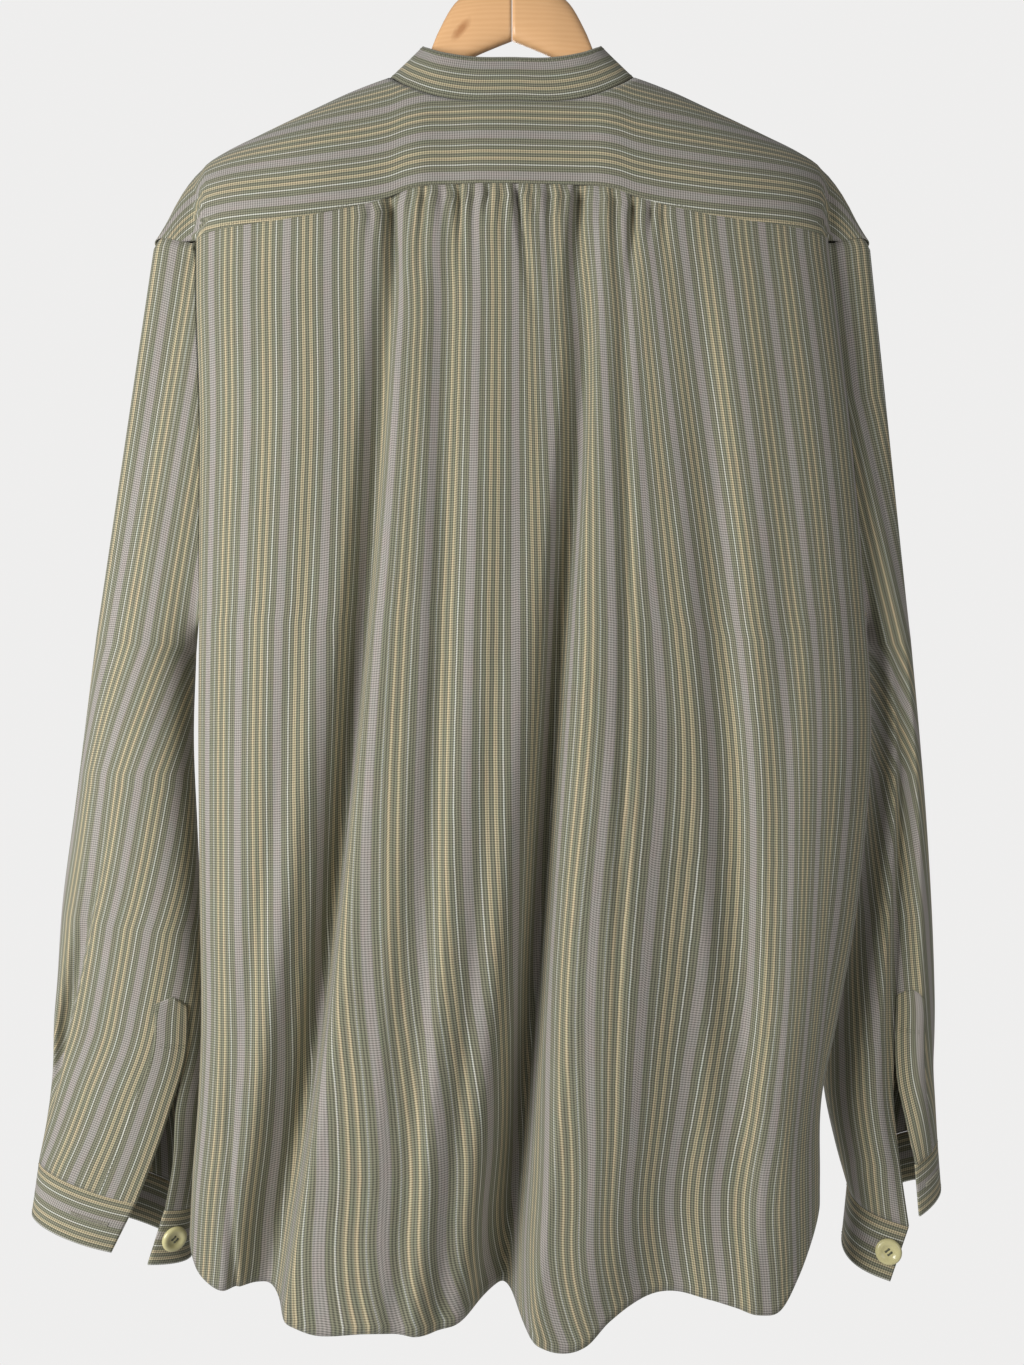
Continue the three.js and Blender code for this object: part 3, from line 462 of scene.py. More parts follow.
def cloth(name, columns, rows, drape, material, slot, node, thickness, flipped=False, seam=None):
    """A piece of cloth: a flat grid whose vertices are moved on to a drape, given its thickness inwards.

    The drape gets the grid's u and v and gives the points and the flat place of each, in millimetres.
    On a tube the flat place across is a pair, one for each side of the long seam at that u."""
    def cell(vertex):
        return [round((part + 0.5) * count) for part, count in zip(vertex.co, (columns, rows))]

    u, v = np.meshgrid(np.linspace(0, 1, columns + 1), np.linspace(0, 1, rows + 1))
    points, across, along = drape(u, v)
    sides = across if isinstance(across, tuple) else (across, across)
    grid = bmesh.new()
    bmesh.ops.create_grid(grid, x_segments=columns, y_segments=rows, size=0.5)
    flat = grid.loops.layers.uv.new("flat")
    for face in grid.faces:
        beyond = sides[seam is not None and face.calc_center_median().x + 0.5 > seam]
        for loop in face.loops:
            i, j = cell(loop.vert)
            loop[flat].uv = (beyond[j, i] * MM, along[j, i] * MM)
    for vertex in grid.verts:
        i, j = cell(vertex)
        vertex.co = points[j, i] * MM
    if flipped:
        bmesh.ops.reverse_faces(grid, faces=grid.faces)
    if seam is not None:
        bmesh.ops.remove_doubles(grid, verts=grid.verts, dist=0.02 * MM)
    made = piece(name, grid, material, slot)
    wall = made.modifiers.new("thickness", "SOLIDIFY")
    wall.thickness = thickness
    wall.offset = -1
    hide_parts(node)
    return made


def stitches(name, runs, material, slot, pitch, length, width):
    """Thread laid in short stitches along runs of points. Each run has points and outward directions."""
    thread = bmesh.new()
    for points, outward in runs:
        steps = np.concatenate(([0], np.cumsum(np.linalg.norm(np.diff(points, axis=0), axis=1))))
        for at in np.arange(pitch / 2, steps[-1] - pitch / 2, pitch):
            middle, tip, up = (
                Vector([np.interp(at + ahead, steps, values[:, k]) for k in range(3)])
                for values, ahead in ((points, 0), (points, 0.4 * length), (outward, 0)))
            along = (tip - middle).normalized()
            side = up.cross(along).normalized()
            up = along.cross(side)
            heading = Matrix((along, side, up)).transposed().to_4x4()
            size = Matrix.Diagonal((length / 2 * MM, width / 2 * MM, width / 2 * MM, 1))
            spot = Matrix.Translation((middle + up * width * 0.2) * MM) @ heading @ size
            bmesh.ops.create_icosphere(thread, subdivisions=1, radius=1, matrix=spot)
    return piece(name, thread, material, slot)


# Finishes
def maths(operation):
    """An operator of Amount and its reflected form, for a number on the left."""
    def after(self, other):
        return self.join(operation, self, other)

    def before(self, other):
        return self.join(operation, other, self)
    return after, before


class Amount:
    """A node's socket that can be used in an expression: each operator adds a Math node."""

    def __init__(self, finish, socket):
        self.finish, self.socket = finish, socket

    def join(self, operation, *values):
        return self.finish.node("ShaderNodeMath", dict(enumerate(values)), operation=operation)

    def sine(self):
        return self.join("SINE", self)

    __add__, __radd__ = maths("ADD")
    __sub__, __rsub__ = maths("SUBTRACT")
    __mul__, __rmul__ = maths("MULTIPLY")
    __truediv__, __rtruediv__ = maths("DIVIDE")


class Finish:
    """A material made of nodes, with a Principled shader at its end."""

    def __init__(self, name, **constants):
        self.material = bpy.data.materials.new(name)
        self.material.use_nodes = True
        self.tree = self.material.node_tree
        self.shader = self.tree.nodes["Principled BSDF"]
        for socket, value in constants.items():
            self.shader.inputs[socket.replace("_", " ").title().replace("Ior", "IOR")].default_value = value

    def feed(self, socket, value):
        if isinstance(value, Amount):
            self.tree.links.new(value.socket, socket)
        else:
            socket.default_value = value

    def node(self, kind, values=None, output=0, stops=None, **settings):
        made = self.tree.nodes.new(kind)
        for name, setting in settings.items():
            setattr(made, name, setting)
        if stops:
            ramp = made.color_ramp.elements
            while len(ramp) < len(stops):
                ramp.new(1)
            for element, (position, colour) in zip(ramp, stops):
                element.position = position
                element.color = (*colour, 1)
        for socket, value in (values or {}).items():
            self.feed(made.inputs[socket], value)
        return Amount(self, made.outputs[output])

    def mix(self, factor, a, b, blend_type="MIX"):
        colours = [value if isinstance(value, Amount) else (*value, 1) for value in (a, b)]
        return self.node("ShaderNodeMix", {0: factor, 6: colours[0], 7: colours[1]}, output=2,
                         data_type="RGBA", blend_type=blend_type)

    def noise(self, vector, scale, detail=2.0, roughness=0.5):
        return self.node("ShaderNodeTexNoise", {"Vector": vector, "Scale": scale, "Detail": detail,
                                                "Roughness": roughness})

    def streaks(self, vector, scale, detail=3.0, roughness=0.5):
        """Noise that is long in the directions in which the scale is low."""
        stretched = self.node("ShaderNodeMapping", {"Vector": vector, "Scale": scale})
        return self.noise(stretched, 1, detail, roughness)

    def finish(self, colour, roughness, height=None, distance=0.0001, strength=1.0):
        self.feed(self.shader.inputs["Base Color"], colour)
        self.feed(self.shader.inputs["Roughness"], roughness)
        if height is not None:
            bump = self.node("ShaderNodeBump", {"Height": height, "Distance": distance, "Strength": strength})
            self.feed(self.shader.inputs["Normal"], bump)
        return self.material


def split(finish, vector):
    parts = finish.node("ShaderNodeSeparateXYZ", {0: vector})
    node = parts.socket.node
    return [Amount(finish, node.outputs[k]) for k in range(3)]


def striped_cloth(name, sizes, colours):
    """Woven cotton. Stripes run along the cloth's second coordinate and repeat across its first."""
    finish = Finish(name, sheen_weight=0.25, sheen_roughness=0.5)
    flat = finish.node("ShaderNodeUVMap", uv_map="flat")
    across, along, _ = split(finish, flat)
    half = sizes.stripe_repeat / 2
    ground, grey = tuple(colours.ground), tuple(colours.grey_band)
    light, beige = tuple(colours.thin_line), tuple(colours.beige_line)
    wander = finish.noise(flat, 60, 1) * 0.0003
    across = across + wander
    # From the middle of a grey band outwards: ground, a thin pale line, ground, a beige line and ground
    distance = finish.node("ShaderNodeMath", {0: across, 1: half}, operation="PINGPONG") / half
    stripes = finish.node("ShaderNodeValToRGB", {0: distance}, stops=[
        (0.0, grey), (0.185, grey), (0.215, ground), (0.485, ground), (0.50, light), (0.54, light),
        (0.555, ground), (0.745, ground), (0.765, beige), (0.885, beige), (0.905, ground), (1.0, ground)])
    # The weave shows as small dots, and in the grey band also as short bars across it
    turn = 2 * math.pi / sizes.weave_pitch
    rising = (across * 0.5 + along * 0.5) * turn
    falling = (across * 0.5 - along * 0.5) * turn
    dots = rising.sine() * falling.sine() * 0.5 + 0.5
    ladder = (along * turn).sine() * 0.5 + 0.5
    band = finish.node("ShaderNodeMapRange", {0: distance, 1: 0.18, 2: 0.25, 3: 1.0, 4: 0.0})
    texture = finish.node("ShaderNodeMix", {0: band, 2: dots, 3: dots * 0.55 + ladder * 0.45})
    slub = finish.streaks(flat, (900, 60, 1), 2)
    patch = finish.noise(flat, 14, 3, 0.6)
    shade = 0.10 + texture * 1.46 + slub * 0.2 + patch * 0.16
    tint = finish.node("ShaderNodeCombineColor", {0: shade, 1: shade, 2: shade})
    tone = finish.streaks(flat, (260, 45, 1), 3, 0.6)
    warm = finish.mix(tone, (0.92, 1.02, 0.98), (1.10, 0.98, 0.98))
    colour = finish.mix(1.0, finish.mix(1.0, stripes, tint, "MULTIPLY"), warm, "MULTIPLY")
    height = texture * 0.6 + slub * 0.5
    return finish.finish(colour, 0.92, height, 0.00016, 0.7)


def thread_finish(name, shade):
    finish = Finish(name)
    place_in = finish.node("ShaderNodeTexCoord", output=3)
    fuzz = finish.noise(place_in, 900, 2)
    return finish.finish(finish.mix(fuzz, tuple(shade), tuple(c * 0.6 for c in shade)), 0.8)


def button_finish(colours):
    finish = Finish("cream_resin", coat_weight=0.35, coat_roughness=0.12, specular_ior_level=0.6)
    place_in = finish.node("ShaderNodeTexCoord", output=3)
    cloud = finish.noise(place_in, 120, 3)
    pale = tuple(min(c * 1.12, 1) for c in colours.button)
    grain = finish.noise(place_in, 700, 2)
    colour = finish.mix(cloud, tuple(colours.button), pale)
    return finish.finish(colour, cloud * 0.15 + 0.22, grain, 0.00004, 0.4)


KNOT_AT = (-0.034, -0.007, -0.092)
KNOT_TURN = (0, 0.7, 0)
KNOT_SIZE = (0.0035, 0.03, 0.009)


def wood_finish(colours):
    """Varnished pale wood: grain along the arm, growth lines and one knot."""
    finish = Finish("pale_wood", coat_weight=0.3, coat_roughness=0.2)
    place_in = finish.node("ShaderNodeTexCoord", output=3)
    stretched = finish.node("ShaderNodeMapping", {"Vector": place_in, "Scale": (6, 60, 60)})
    warp = finish.noise(place_in, 22, 3)
    lines = finish.node("ShaderNodeTexWave", {
        "Vector": stretched, "Scale": 1.6, "Distortion": 5.0, "Detail": 3.0, "Detail Scale": 1.2},
        output=1, wave_type="BANDS", bands_direction="Z")
    pores = finish.streaks(place_in, (60, 900, 900))
    bent = finish.noise(place_in, 300, 2) * 0.5
    about = finish.node("ShaderNodeMapping", {
        "Vector": place_in, "Location": KNOT_AT, "Rotation": KNOT_TURN, "Scale": KNOT_SIZE},
        vector_type="TEXTURE")
    knots = finish.node("ShaderNodeVectorMath", {0: about}, output=1, operation="LENGTH") + bent
    ring = finish.node("ShaderNodeMapRange", {0: knots, 1: 0.6, 2: 1.4, 3: 1.0, 4: 0.0})
    wood = tuple(colours.wood)
    dark = tuple(c * s for c, s in zip(wood, (0.8, 0.68, 0.55)))
    colour = finish.mix(lines * 0.22 + warp * 0.3, wood, dark)
    colour = finish.mix(pores * 0.25, colour, dark)
    colour = finish.mix(ring * 0.85, colour, tuple(c * s for c, s in zip(wood, (0.55, 0.4, 0.3))))
    return finish.finish(colour, pores * 0.2 + 0.32, pores, 0.00008, 0.5)


def steel_finish(colours):
    finish = Finish("steel_wire", metallic=1.0)
    place_in = finish.node("ShaderNodeTexCoord", output=3)
    brushed = finish.streaks(place_in, (900, 900, 90))
    steel = finish.mix(brushed, tuple(colours.steel), tuple(c * 0.8 for c in colours.steel))
    return finish.finish(steel, brushed * 0.15 + 0.18, brushed, 0.00003, 0.5)


def finish_of(name, context):
    """The finish of that name, made when it is first asked for."""
    ready = bpy.data.materials.get(name)
    sizes, colours = context.scene.shirt_sizes, context.scene.shirt_colours
    makers = {
        "striped_cotton": lambda: striped_cloth("striped_cotton", sizes, colours),
        "thread": lambda: thread_finish("thread", colours.thread),
        "pale_thread": lambda: thread_finish("pale_thread", colours.pale_thread),
        "cream_resin": lambda: button_finish(colours),
        "pale_wood": lambda: wood_finish(colours),
        "steel_wire": lambda: steel_finish(colours),
    }
    return ready or makers[name]()


# Sizes and colours that a user would change
def size_setting(name, description, default):
    return bpy.props.FloatProperty(name=name, description=description, default=default, min=0,
                                   unit="LENGTH", subtype="DISTANCE", precision=5)


def colour_setting(name, description, default):
    return bpy.props.FloatVectorProperty(name=name, description=description, default=default, size=3,
                                         min=0, max=1, subtype="COLOR")


class ShirtSizes(bpy.types.PropertyGroup):
    """Cloth, stripes, stitches and buttons."""
    cloth: size_setting("Cloth", "Thickness of a single piece of cloth", 0.0007)
    double_cloth: size_setting("Double cloth", "Thickness of the collar and the cuffs", 0.0016)
    stripe_repeat: size_setting("Stripe repeat", "From one grey band to the next", 0.0275)
    weave_pitch: size_setting("Weave", "From one dot of the weave to the next", 0.0016)
    hem: size_setting("Hem", "Width of the turned hem", 0.006)
    stitch: size_setting("Stitch", "Length of a stitch", 0.0022)
    stitch_pitch: size_setting("Stitch pitch", "From one stitch to the next", 0.003)
    thread: size_setting("Thread", "Thickness of the thread", 0.0004)
    button: size_setting("Button", "Diameter of a button", 0.018)
    hook_wire: size_setting("Hook wire", "Thickness of the hanger's hook", 0.0036)


class ShirtColours(bpy.types.PropertyGroup):
    """Colours of the cloth, the thread, the buttons and the hanger."""
    ground: colour_setting("Ground", "Grey-green ground of the cloth", (0.204, 0.203, 0.143))
    grey_band: colour_setting("Grey band", "Wide band of the stripe", (0.345, 0.32, 0.295))
    thin_line: colour_setting("Thin line", "Thin pale line of the stripe", (0.50, 0.505, 0.45))
    beige_line: colour_setting("Beige line", "Beige line of the stripe", (0.445, 0.385, 0.25))
    thread: colour_setting("Thread", "Thread of the seams", (0.16, 0.165, 0.11))
    pale_thread: colour_setting("Pale thread", "Thread of the buttonholes", (0.55, 0.53, 0.42))
    button: colour_setting("Button", "Cream-yellow resin", (0.72, 0.66, 0.34))
    wood: colour_setting("Wood", "Pale varnished wood", (1.0, 0.61, 0.31))
    steel: colour_setting("Steel", "Steel of the hook", (0.62, 0.63, 0.65))


class StageLook(bpy.types.PropertyGroup):
    """Floor, background and light."""
    backdrop: colour_setting("Backdrop", "Pale surroundings", (0.86, 0.855, 0.85))
    floor_drop: size_setting("Floor", "How far below the hook the floor lies", 1.9)
    surround: bpy.props.FloatProperty(name="Surround", description="Light from all round", default=0.18)
    key: bpy.props.FloatProperty(name="Key", description="Large soft light from the left", default=22,
                                 unit="POWER")
    fill: bpy.props.FloatProperty(name="Fill", description="Weak light from the right", default=9,
                                  unit="POWER")
    front: bpy.props.FloatProperty(name="Front", description="Light on the shirt's front", default=16,
                                   unit="POWER")


# Stage
SHIRT_MIDDLE = (0, 0, -0.53)
# The photo is 1024 by 1365. Its long side spans 887 mm at the back panel, 0.85 m from the camera.
CAMERA_AT = (0, -0.875, -0.5266)
VIEW_DISTANCE = 0.85
VIEW_SPAN = 0.88725
SENSOR = 36


def lamp(name, at, size, power):
    light = bpy.data.lights.new(name, "AREA")
    light.shape, light.size, light.energy = "DISK", size, power
    made = bpy.data.objects.new(name, light)
    bpy.context.scene.collection.objects.link(made)
    made.location = at
    made.rotation_euler = (Vector(SHIRT_MIDDLE) - Vector(at)).to_track_quat("-Z", "Y").to_euler()


class SHIRT_OT_stage(bpy.types.Operator):
    """Make the floor, the light and the camera"""
    bl_idname = "shirt.stage"
    bl_label = "Stage"

    def execute(self, context):
        look = context.scene.shirt_stage
        camera = bpy.data.objects.new("camera", bpy.data.cameras.new("camera"))
        context.scene.collection.objects.link(camera)
        camera.location = CAMERA_AT
        camera.rotation_euler = (math.pi / 2, 0, 0)
        camera.data.sensor_width = SENSOR
        camera.data.lens = SENSOR * VIEW_DISTANCE / VIEW_SPAN
        camera.data.clip_start = 0.01
        context.scene.camera = camera
        context.scene.view_settings.view_transform = "Standard"
        lamp("key_light", (-1.15, -0.95, -0.4), 0.9, look.key)
        lamp("fill_light", (1.7, -1.6, -0.5), 1.4, look.fill)
        lamp("front_light", (-0.9, 1.9, 0.1), 1.6, look.front)
        world = bpy.data.worlds.new("surroundings")
        context.scene.world = world
        world.use_nodes = True
        nodes, links = world.node_tree.nodes, world.node_tree.links
        seen, lit = nodes["Background"], nodes.new("ShaderNodeBackground")
        path, choice = nodes.new("ShaderNodeLightPath"), nodes.new("ShaderNodeMixShader")
        for background, strength in ((seen, 1.0), (lit, look.surround)):
            background.inputs["Color"].default_value = (*look.backdrop, 1)
            background.inputs["Strength"].default_value = strength
        links.new(path.outputs["Is Camera Ray"], choice.inputs[0])
        links.new(lit.outputs[0], choice.inputs[1])
        links.new(seen.outputs[0], choice.inputs[2])
        links.new(choice.outputs[0], nodes["World Output"].inputs["Surface"])
        floor = bmesh.new()
        bmesh.ops.create_circle(floor, cap_ends=True, segments=96, radius=1.5)
        bmesh.ops.translate(floor, verts=floor.verts, vec=(0, 0.1, -look.floor_drop))
        mesh = mesh_of("floor", floor)
        made = bpy.data.objects.new("floor", mesh)
        context.scene.collection.objects.link(made)
        pale = Finish("floor")
        mesh.materials.append(pale.finish((*look.backdrop, 1), 0.8))
        return {"FINISHED"}


# Body
STRIPE_X = 2.6                      # the grey band beside the middle of the back
BACK_LEFT_CLOTH = 245.0             # cloth from that band to the left and the right side seam
BACK_RIGHT_CLOTH = 283.0
HEM_SHARE = 0.992                   # where the turned hem starts, down the panel
HEM_LIFT = 0.5
UNDER_YOKE = 3.0                    # how far the panel reaches up inside the yoke's seam
UNDER_YOKE_Y = 1.2
SEWN_FLAT = 0.22                    # how much of the gathers is left right at the seam
SEWN_REACH = 7.0                    # how far below the seam they are whole
GATHERED_TOP = 112.0                # half width of the gathered cloth at the yoke and at the foot
GATHERED_FOOT = 190.0
GATHERED_FADE = 24.0
FRONT_EASE = 1.06                   # the fronts' cloth is this much wider than their smooth form


def even_ends(t):
    """From -1 to 1 across a panel, with rows closer together where it turns round the side."""
    return t * (7 - t**6) / 6


def from_top(points):
    return arc(points[::-1], 0)[::-1]


def back_point(t, down):
    """The back panel: t from -1 at the left side to 1 at the right one, down from the yoke to the hem."""
    def level_at(across):
        top = read(YOKE_BACK, "x", "z", np.abs(across)) + UNDER_YOKE
        return lerp(top, read(BACK_HEM, "x", "z", across), down**1.15)

    q = even_ends(t)
    x, z = settle(lambda level: q * half_width(q, level), level_at)
    creases = fold_depth(BACK_CREASES, x, z, CREASE_LEVELS) * round_off(x, z)
    hem = HEM_LIFT * np.clip((down - HEM_SHARE) / 0.002, 0, 1)
    below = read(YOKE_BACK, "x", "z", np.abs(x)) - z
    sewn = lerp(SEWN_FLAT, 1, np.clip(below / SEWN_REACH, 0, 1))
    inside = UNDER_YOKE_Y * np.clip(0.4 - below / UNDER_YOKE, 0, 1)
    return place(x, back_y(x, z) + (tucks(x, z) + creases) * sewn - hem + inside, z)


def from_band(xs, lengths):
    """Lengths along each row, counted from the grey band beside the middle of the back."""
    band = np.array([np.interp(STRIPE_X, row, values) for row, values in zip(xs, lengths)])
    return lengths - band[:, None]


def back_cloth(u, v):
    """The cloth is as wide at every height. What the folds don't take up is gathered in the middle."""
    points = back_point(2 * u - 1, 1 - v)
    x, z = points[..., 0], points[..., 2]
    past = from_band(x, arc(points, 1))
    reach = lerp(GATHERED_TOP, GATHERED_FOOT, down_back(z))
    gathered = np.clip((reach - np.abs(x)) / GATHERED_FADE, 0, 1)
    steps = (gathered[:, 1:] + gathered[:, :-1]) / 2 * np.diff(x, axis=1)
    share = from_band(x, np.concatenate((0 * x[:, :1], np.cumsum(steps, axis=1)), axis=1))
    left = (-BACK_LEFT_CLOTH - past[:, :1]) / share[:, :1]
    right = (BACK_RIGHT_CLOTH - past[:, -1:]) / share[:, -1:]
    return points, past + np.where(past < 0, left, right) * share, from_top(points)


class SHIRT_OT_back(bpy.types.Operator):
    """Make the back panel, gathered on to the yoke"""
    bl_idname = "shirt.back"
    bl_label = "Back panel"

    def execute(self, context):
        sizes = context.scene.shirt_sizes
        made = cloth("back", 296, 160, back_cloth, finish_of("striped_cotton", context), "shirt_cloth",
                     "back_panel", sizes.cloth)
        return {"FINISHED"}


def front_cloth(side, under):
    def drape(u, v):
        def level_at(across):
            return lerp(front_top(across) - 0.55, read(FRONT_HEM, "x", "z", across), 1 - v)

        shape = even_ends(u if side > 0 else 1 - u)
        inner = -side * BAND_WIDTH / 2
        x, z = settle(lambda level: lerp(inner, side * half_width(side, level), shape), level_at)
        points = on_front(x, z, under)
        lengths = arc(points, 1)
        middle = np.array([np.interp(0, xs, row) for xs, row in zip(points[..., 0], lengths)])[:, None]
        return points, (lengths - middle) * FRONT_EASE, from_top(points)
    return drape


def band_cloth(u, v):
    x = lerp(-BAND_WIDTH / 2, BAND_WIDTH / 2, u)
    points = band_point(x, 1 - v)
    return points, x, from_top(points)


class SHIRT_OT_fronts(bpy.types.Operator):
    """Make both fronts and the button band on the left one's edge"""
    bl_idname = "shirt.fronts"
    bl_label = "Fronts and button band"

    def execute(self, context):
        sizes = context.scene.shirt_sizes
        finish = finish_of("striped_cotton", context)
        for name, side, under in (("left", -1, 0.0), ("right", 1, FRONT_LAP)):
            made = cloth(f"front_{name}_cloth", 84, 120, front_cloth(side, under), finish, "shirt_cloth",
                         f"front_{name}", sizes.cloth, flipped=True)
        made = cloth("button_band", 16, 150, band_cloth, finish, "shirt_cloth", "front_band",
                     sizes.double_cloth, flipped=True)
        return {"FINISHED"}


# Yoke and collar
YOKE_END_STEPS = 12
YOKE_TURN_X = 208.0


def yoke_edge(turn):
    """The yoke's neckline and outer edge at a turn from the left front end to the right one."""
    step = turn * 4 * YOKE_END_STEPS
    side = np.where(step < 2 * YOKE_END_STEPS, -1, 1)
    k = np.minimum(step, 4 * YOKE_END_STEPS - step)
    neck_turn = 8 * (1 - k / (2 * YOKE_END_STEPS))
    neck_x, neck_across = (read(NECKLINE, "turn", name, neck_turn) for name in ("x", "across"))
    end = k <= YOKE_END_STEPS
    across = np.where(end, 1 - 2 * k / YOKE_END_STEPS, -1)
    inward = np.clip((k - YOKE_END_STEPS) / YOKE_END_STEPS, 0, 1)
    edge_x = np.where(end, shoulder_x(across), lerp(shoulder_x(1.0), 0, inward))
    return side * neck_x, neck_across, side * edge_x, across


def yoke_place(u, out):
    neck_x, neck_across, edge_x, edge_across = yoke_edge(u)
    return lerp(neck_x, edge_x, out), lerp(neck_across, edge_across, out)


def yoke_surface(u, out):
    return yoke_point(*yoke_place(u, out))


def yoke_climb(x, across):
    """Length over the yoke from its back seam."""
    steps = np.linspace(0, 1, 33)[:, None, None]
    return arc(yoke_point(x[None], lerp(-1, across[None], steps)), 0)[-1]


def yoke_cloth(u, v):
    """Past the hanger's end the cloth turns down, and its stripes run beside the ridge."""
    x, across = yoke_place(u, 1 - v)
    held = np.clip(x, -YOKE_TURN_X, YOKE_TURN_X)
    turned = yoke_climb(held, 0 * x) - yoke_climb(x, 0 * x)
    grain = yoke_climb(x, across) + turned - read(YOKE_GRAIN, "x", "rise", np.abs(x))
    return yoke_point(x, across), grain, x


class SHIRT_OT_yoke(bpy.types.Operator):
    """Make the yoke that wraps over both shoulders"""
    bl_idname = "shirt.yoke"
    bl_label = "Yoke"

    def execute(self, context):
        made = cloth("yoke_cloth", 288, 36, yoke_cloth, finish_of("striped_cotton", context), "cross_cloth",
                     "yoke", context.scene.shirt_sizes.cloth)
        return {"FINISHED"}


COLLAR_GRAIN = 2.8                  # the grey band's middle lies this far below the collar's seam


def collar_cloth(u, v):
    return collar_point(u, v), v * COLLAR_HEIGHT + COLLAR_GRAIN, u * NECK_LENGTH[-1]


class SHIRT_OT_collar(bpy.types.Operator):
    """Make the band collar"""
    bl_idname = "shirt.collar"
    bl_label = "Collar"

    def execute(self, context):
        made = cloth("collar", 240, 16, collar_cloth, finish_of("striped_cotton", context), "cross_cloth",
                     "collar_band", context.scene.shirt_sizes.double_cloth)
        return {"FINISHED"}


# Sleeves, plackets and cuffs
OVERLAP_GRAIN = 18.8                # from the slit's overlap edge to the middle of a grey band
STRAIGHT_SHARE = 0.3                # how far up from the cuff the stripes run beside the slit
SLEEVE_TURN_Z = -590.0
SLEEVE_TURN_RISE = 90.0
# The sleeves twist as they hang, so that the stripes drift outwards on the way down
DRIFTS = {-1: table("z drift", (-600, -30), (-680, -24), (-780, -4), (-860, 0)),
          1: table("z drift", (-330, -70), (-860, 0))}
CUFF_GRAIN = 17.4                   # from the cuff's upper edge to the middle of its grey band


def sleeve_cloth(side, rows):
    """Stripes run beside the slit near the cuff, and beside the sleeve's outer line above it.

    Above SLEEVE_TURN_Z the rows dip towards the underarm, so the distance from the outer line is taken
    at the same height there and not along the row."""
    def drape(u, v):
        points = sleeve_point(side, rows, u, 1 - v)
        lengths = arc(points * (1, 1, 0), 1)
        turn = rows["over"][0] / 360
        outer = np.array([np.interp(turn, u[0], row) for row in lengths])
        level = STRAIGHT_SHARE * (len(outer) - 1)
        settled = np.interp(level, np.arange(len(outer)), outer)
        shift = np.where(np.arange(len(outer)) > level, outer - settled, 0)[:, None]
        drift = read(DRIFTS[side], "z", "drift", points[..., 2])
        start = OVERLAP_GRAIN + shift + drift
        line = points[:, round(turn * (u.shape[1] - 1))]
        inwards = np.interp(points[..., 2], line[:, 2], side * line[:, 0]) - side * points[..., 0]
        at_back = (u < turn) | (u > turn + 0.5)
        beside = settled - OVERLAP_GRAIN - drift + np.where(at_back, -inwards, inwards)
        high = np.clip((points[..., 2] - SLEEVE_TURN_Z) / SLEEVE_TURN_RISE, 0, 1)
        sides = (lengths - start, lengths - lengths[:, -1:] - start)
        return points, tuple(lerp(across, beside, high) for across in sides), arc(points, 0)
    return drape


def placket_cloth(side, rows):
    def drape(u, v):
        points = placket_point(side, rows, u, 1 - v)
        return points, arc(points, 1) - OVERLAP_GRAIN, from_top(points)
    return drape


def cuff_cloth(side, rows, fall):
    def drape(u, v):
        points = cuff_point(side, rows, fall, u, 1 - v)
        return points, (1 - v) * CUFF_HEIGHT - CUFF_GRAIN, arc(points, 1)
    return drape


class SHIRT_OT_sleeves(bpy.types.Operator):
    """Make both sleeves with the placket on each slit"""
    bl_idname = "shirt.sleeves"
    bl_label = "Sleeves and plackets"

    def execute(self, context):
        sizes = context.scene.shirt_sizes
        finish = finish_of("striped_cotton", context)
        for name, (side, rows, _) in SLEEVES.items():
            made = cloth(f"sleeve_{name}_cloth", 120, 150, sleeve_cloth(side, rows), finish, "shirt_cloth",
                         f"sleeve_{name}", sizes.cloth, flipped=side < 0, seam=0.5 + rows["over"][0] / 360)
            strip = cloth(f"placket_{name}_cloth", 14, 60, placket_cloth(side, rows), finish, "shirt_cloth",
                          f"placket_{name}", sizes.cloth, flipped=side < 0)
        return {"FINISHED"}


class SHIRT_OT_cuffs(bpy.types.Operator):
    """Make both cuffs, hanging open"""
    bl_idname = "shirt.cuffs"
    bl_label = "Cuffs"

    def execute(self, context):
        sizes = context.scene.shirt_sizes
        for name, (side, rows, fall) in SLEEVES.items():
            made = cloth(f"cuff_{name}_cloth", 120, 16, cuff_cloth(side, rows, fall),
                         finish_of("striped_cotton", context), "cross_cloth", f"cuff_{name}",
                         sizes.double_cloth, flipped=side < 0)
        return {"FINISHED"}


# Buttons
COLLAR_BUTTON_TURN = 0.028
CUFF_BUTTON_TURN = 0.955
BUTTON_SEAT = 0.35
FRONT_BUTTONS = 7
FIRST_BUTTON_Z = -262
BUTTON_PITCH = 92
# Section of a button, as shares of its radius, from the middle of its dish to the middle of its back
BUTTON_SECTION = table(
    "r h", (0, 0.30), (0.36, 0.30), (0.46, 0.33), (0.56, 0.41), (0.70, 0.455), (0.84, 0.45), (0.94, 0.38),
    (1.0, 0.25), (0.98, 0.12), (0.86, 0.02), (0.5, 0), (0, 0))
HOLE_SPREAD = 0.15                  # how far a thread hole lies out each way, as a share of the radius
THREAD_SPOT = dict(radius1=0.9 * MM, radius2=0.8 * MM, depth=0.1 * MM)
THREAD_BAR = (2.2 * MM, 0.6 * MM, 0.5 * MM, 1)
THREAD_LIFT = 0.02 * MM


def facing(drape, u, v, turned):
    """A point of a drape with its outward direction."""
    step = 0.004
    across = drape(u + step, v) - drape(u - step, v)
    along = drape(u, v + step) - drape(u, v - step)
    outward = np.cross(across, along)
    return drape(u, v), turned * outward / np.linalg.norm(outward, axis=-1, keepdims=True)


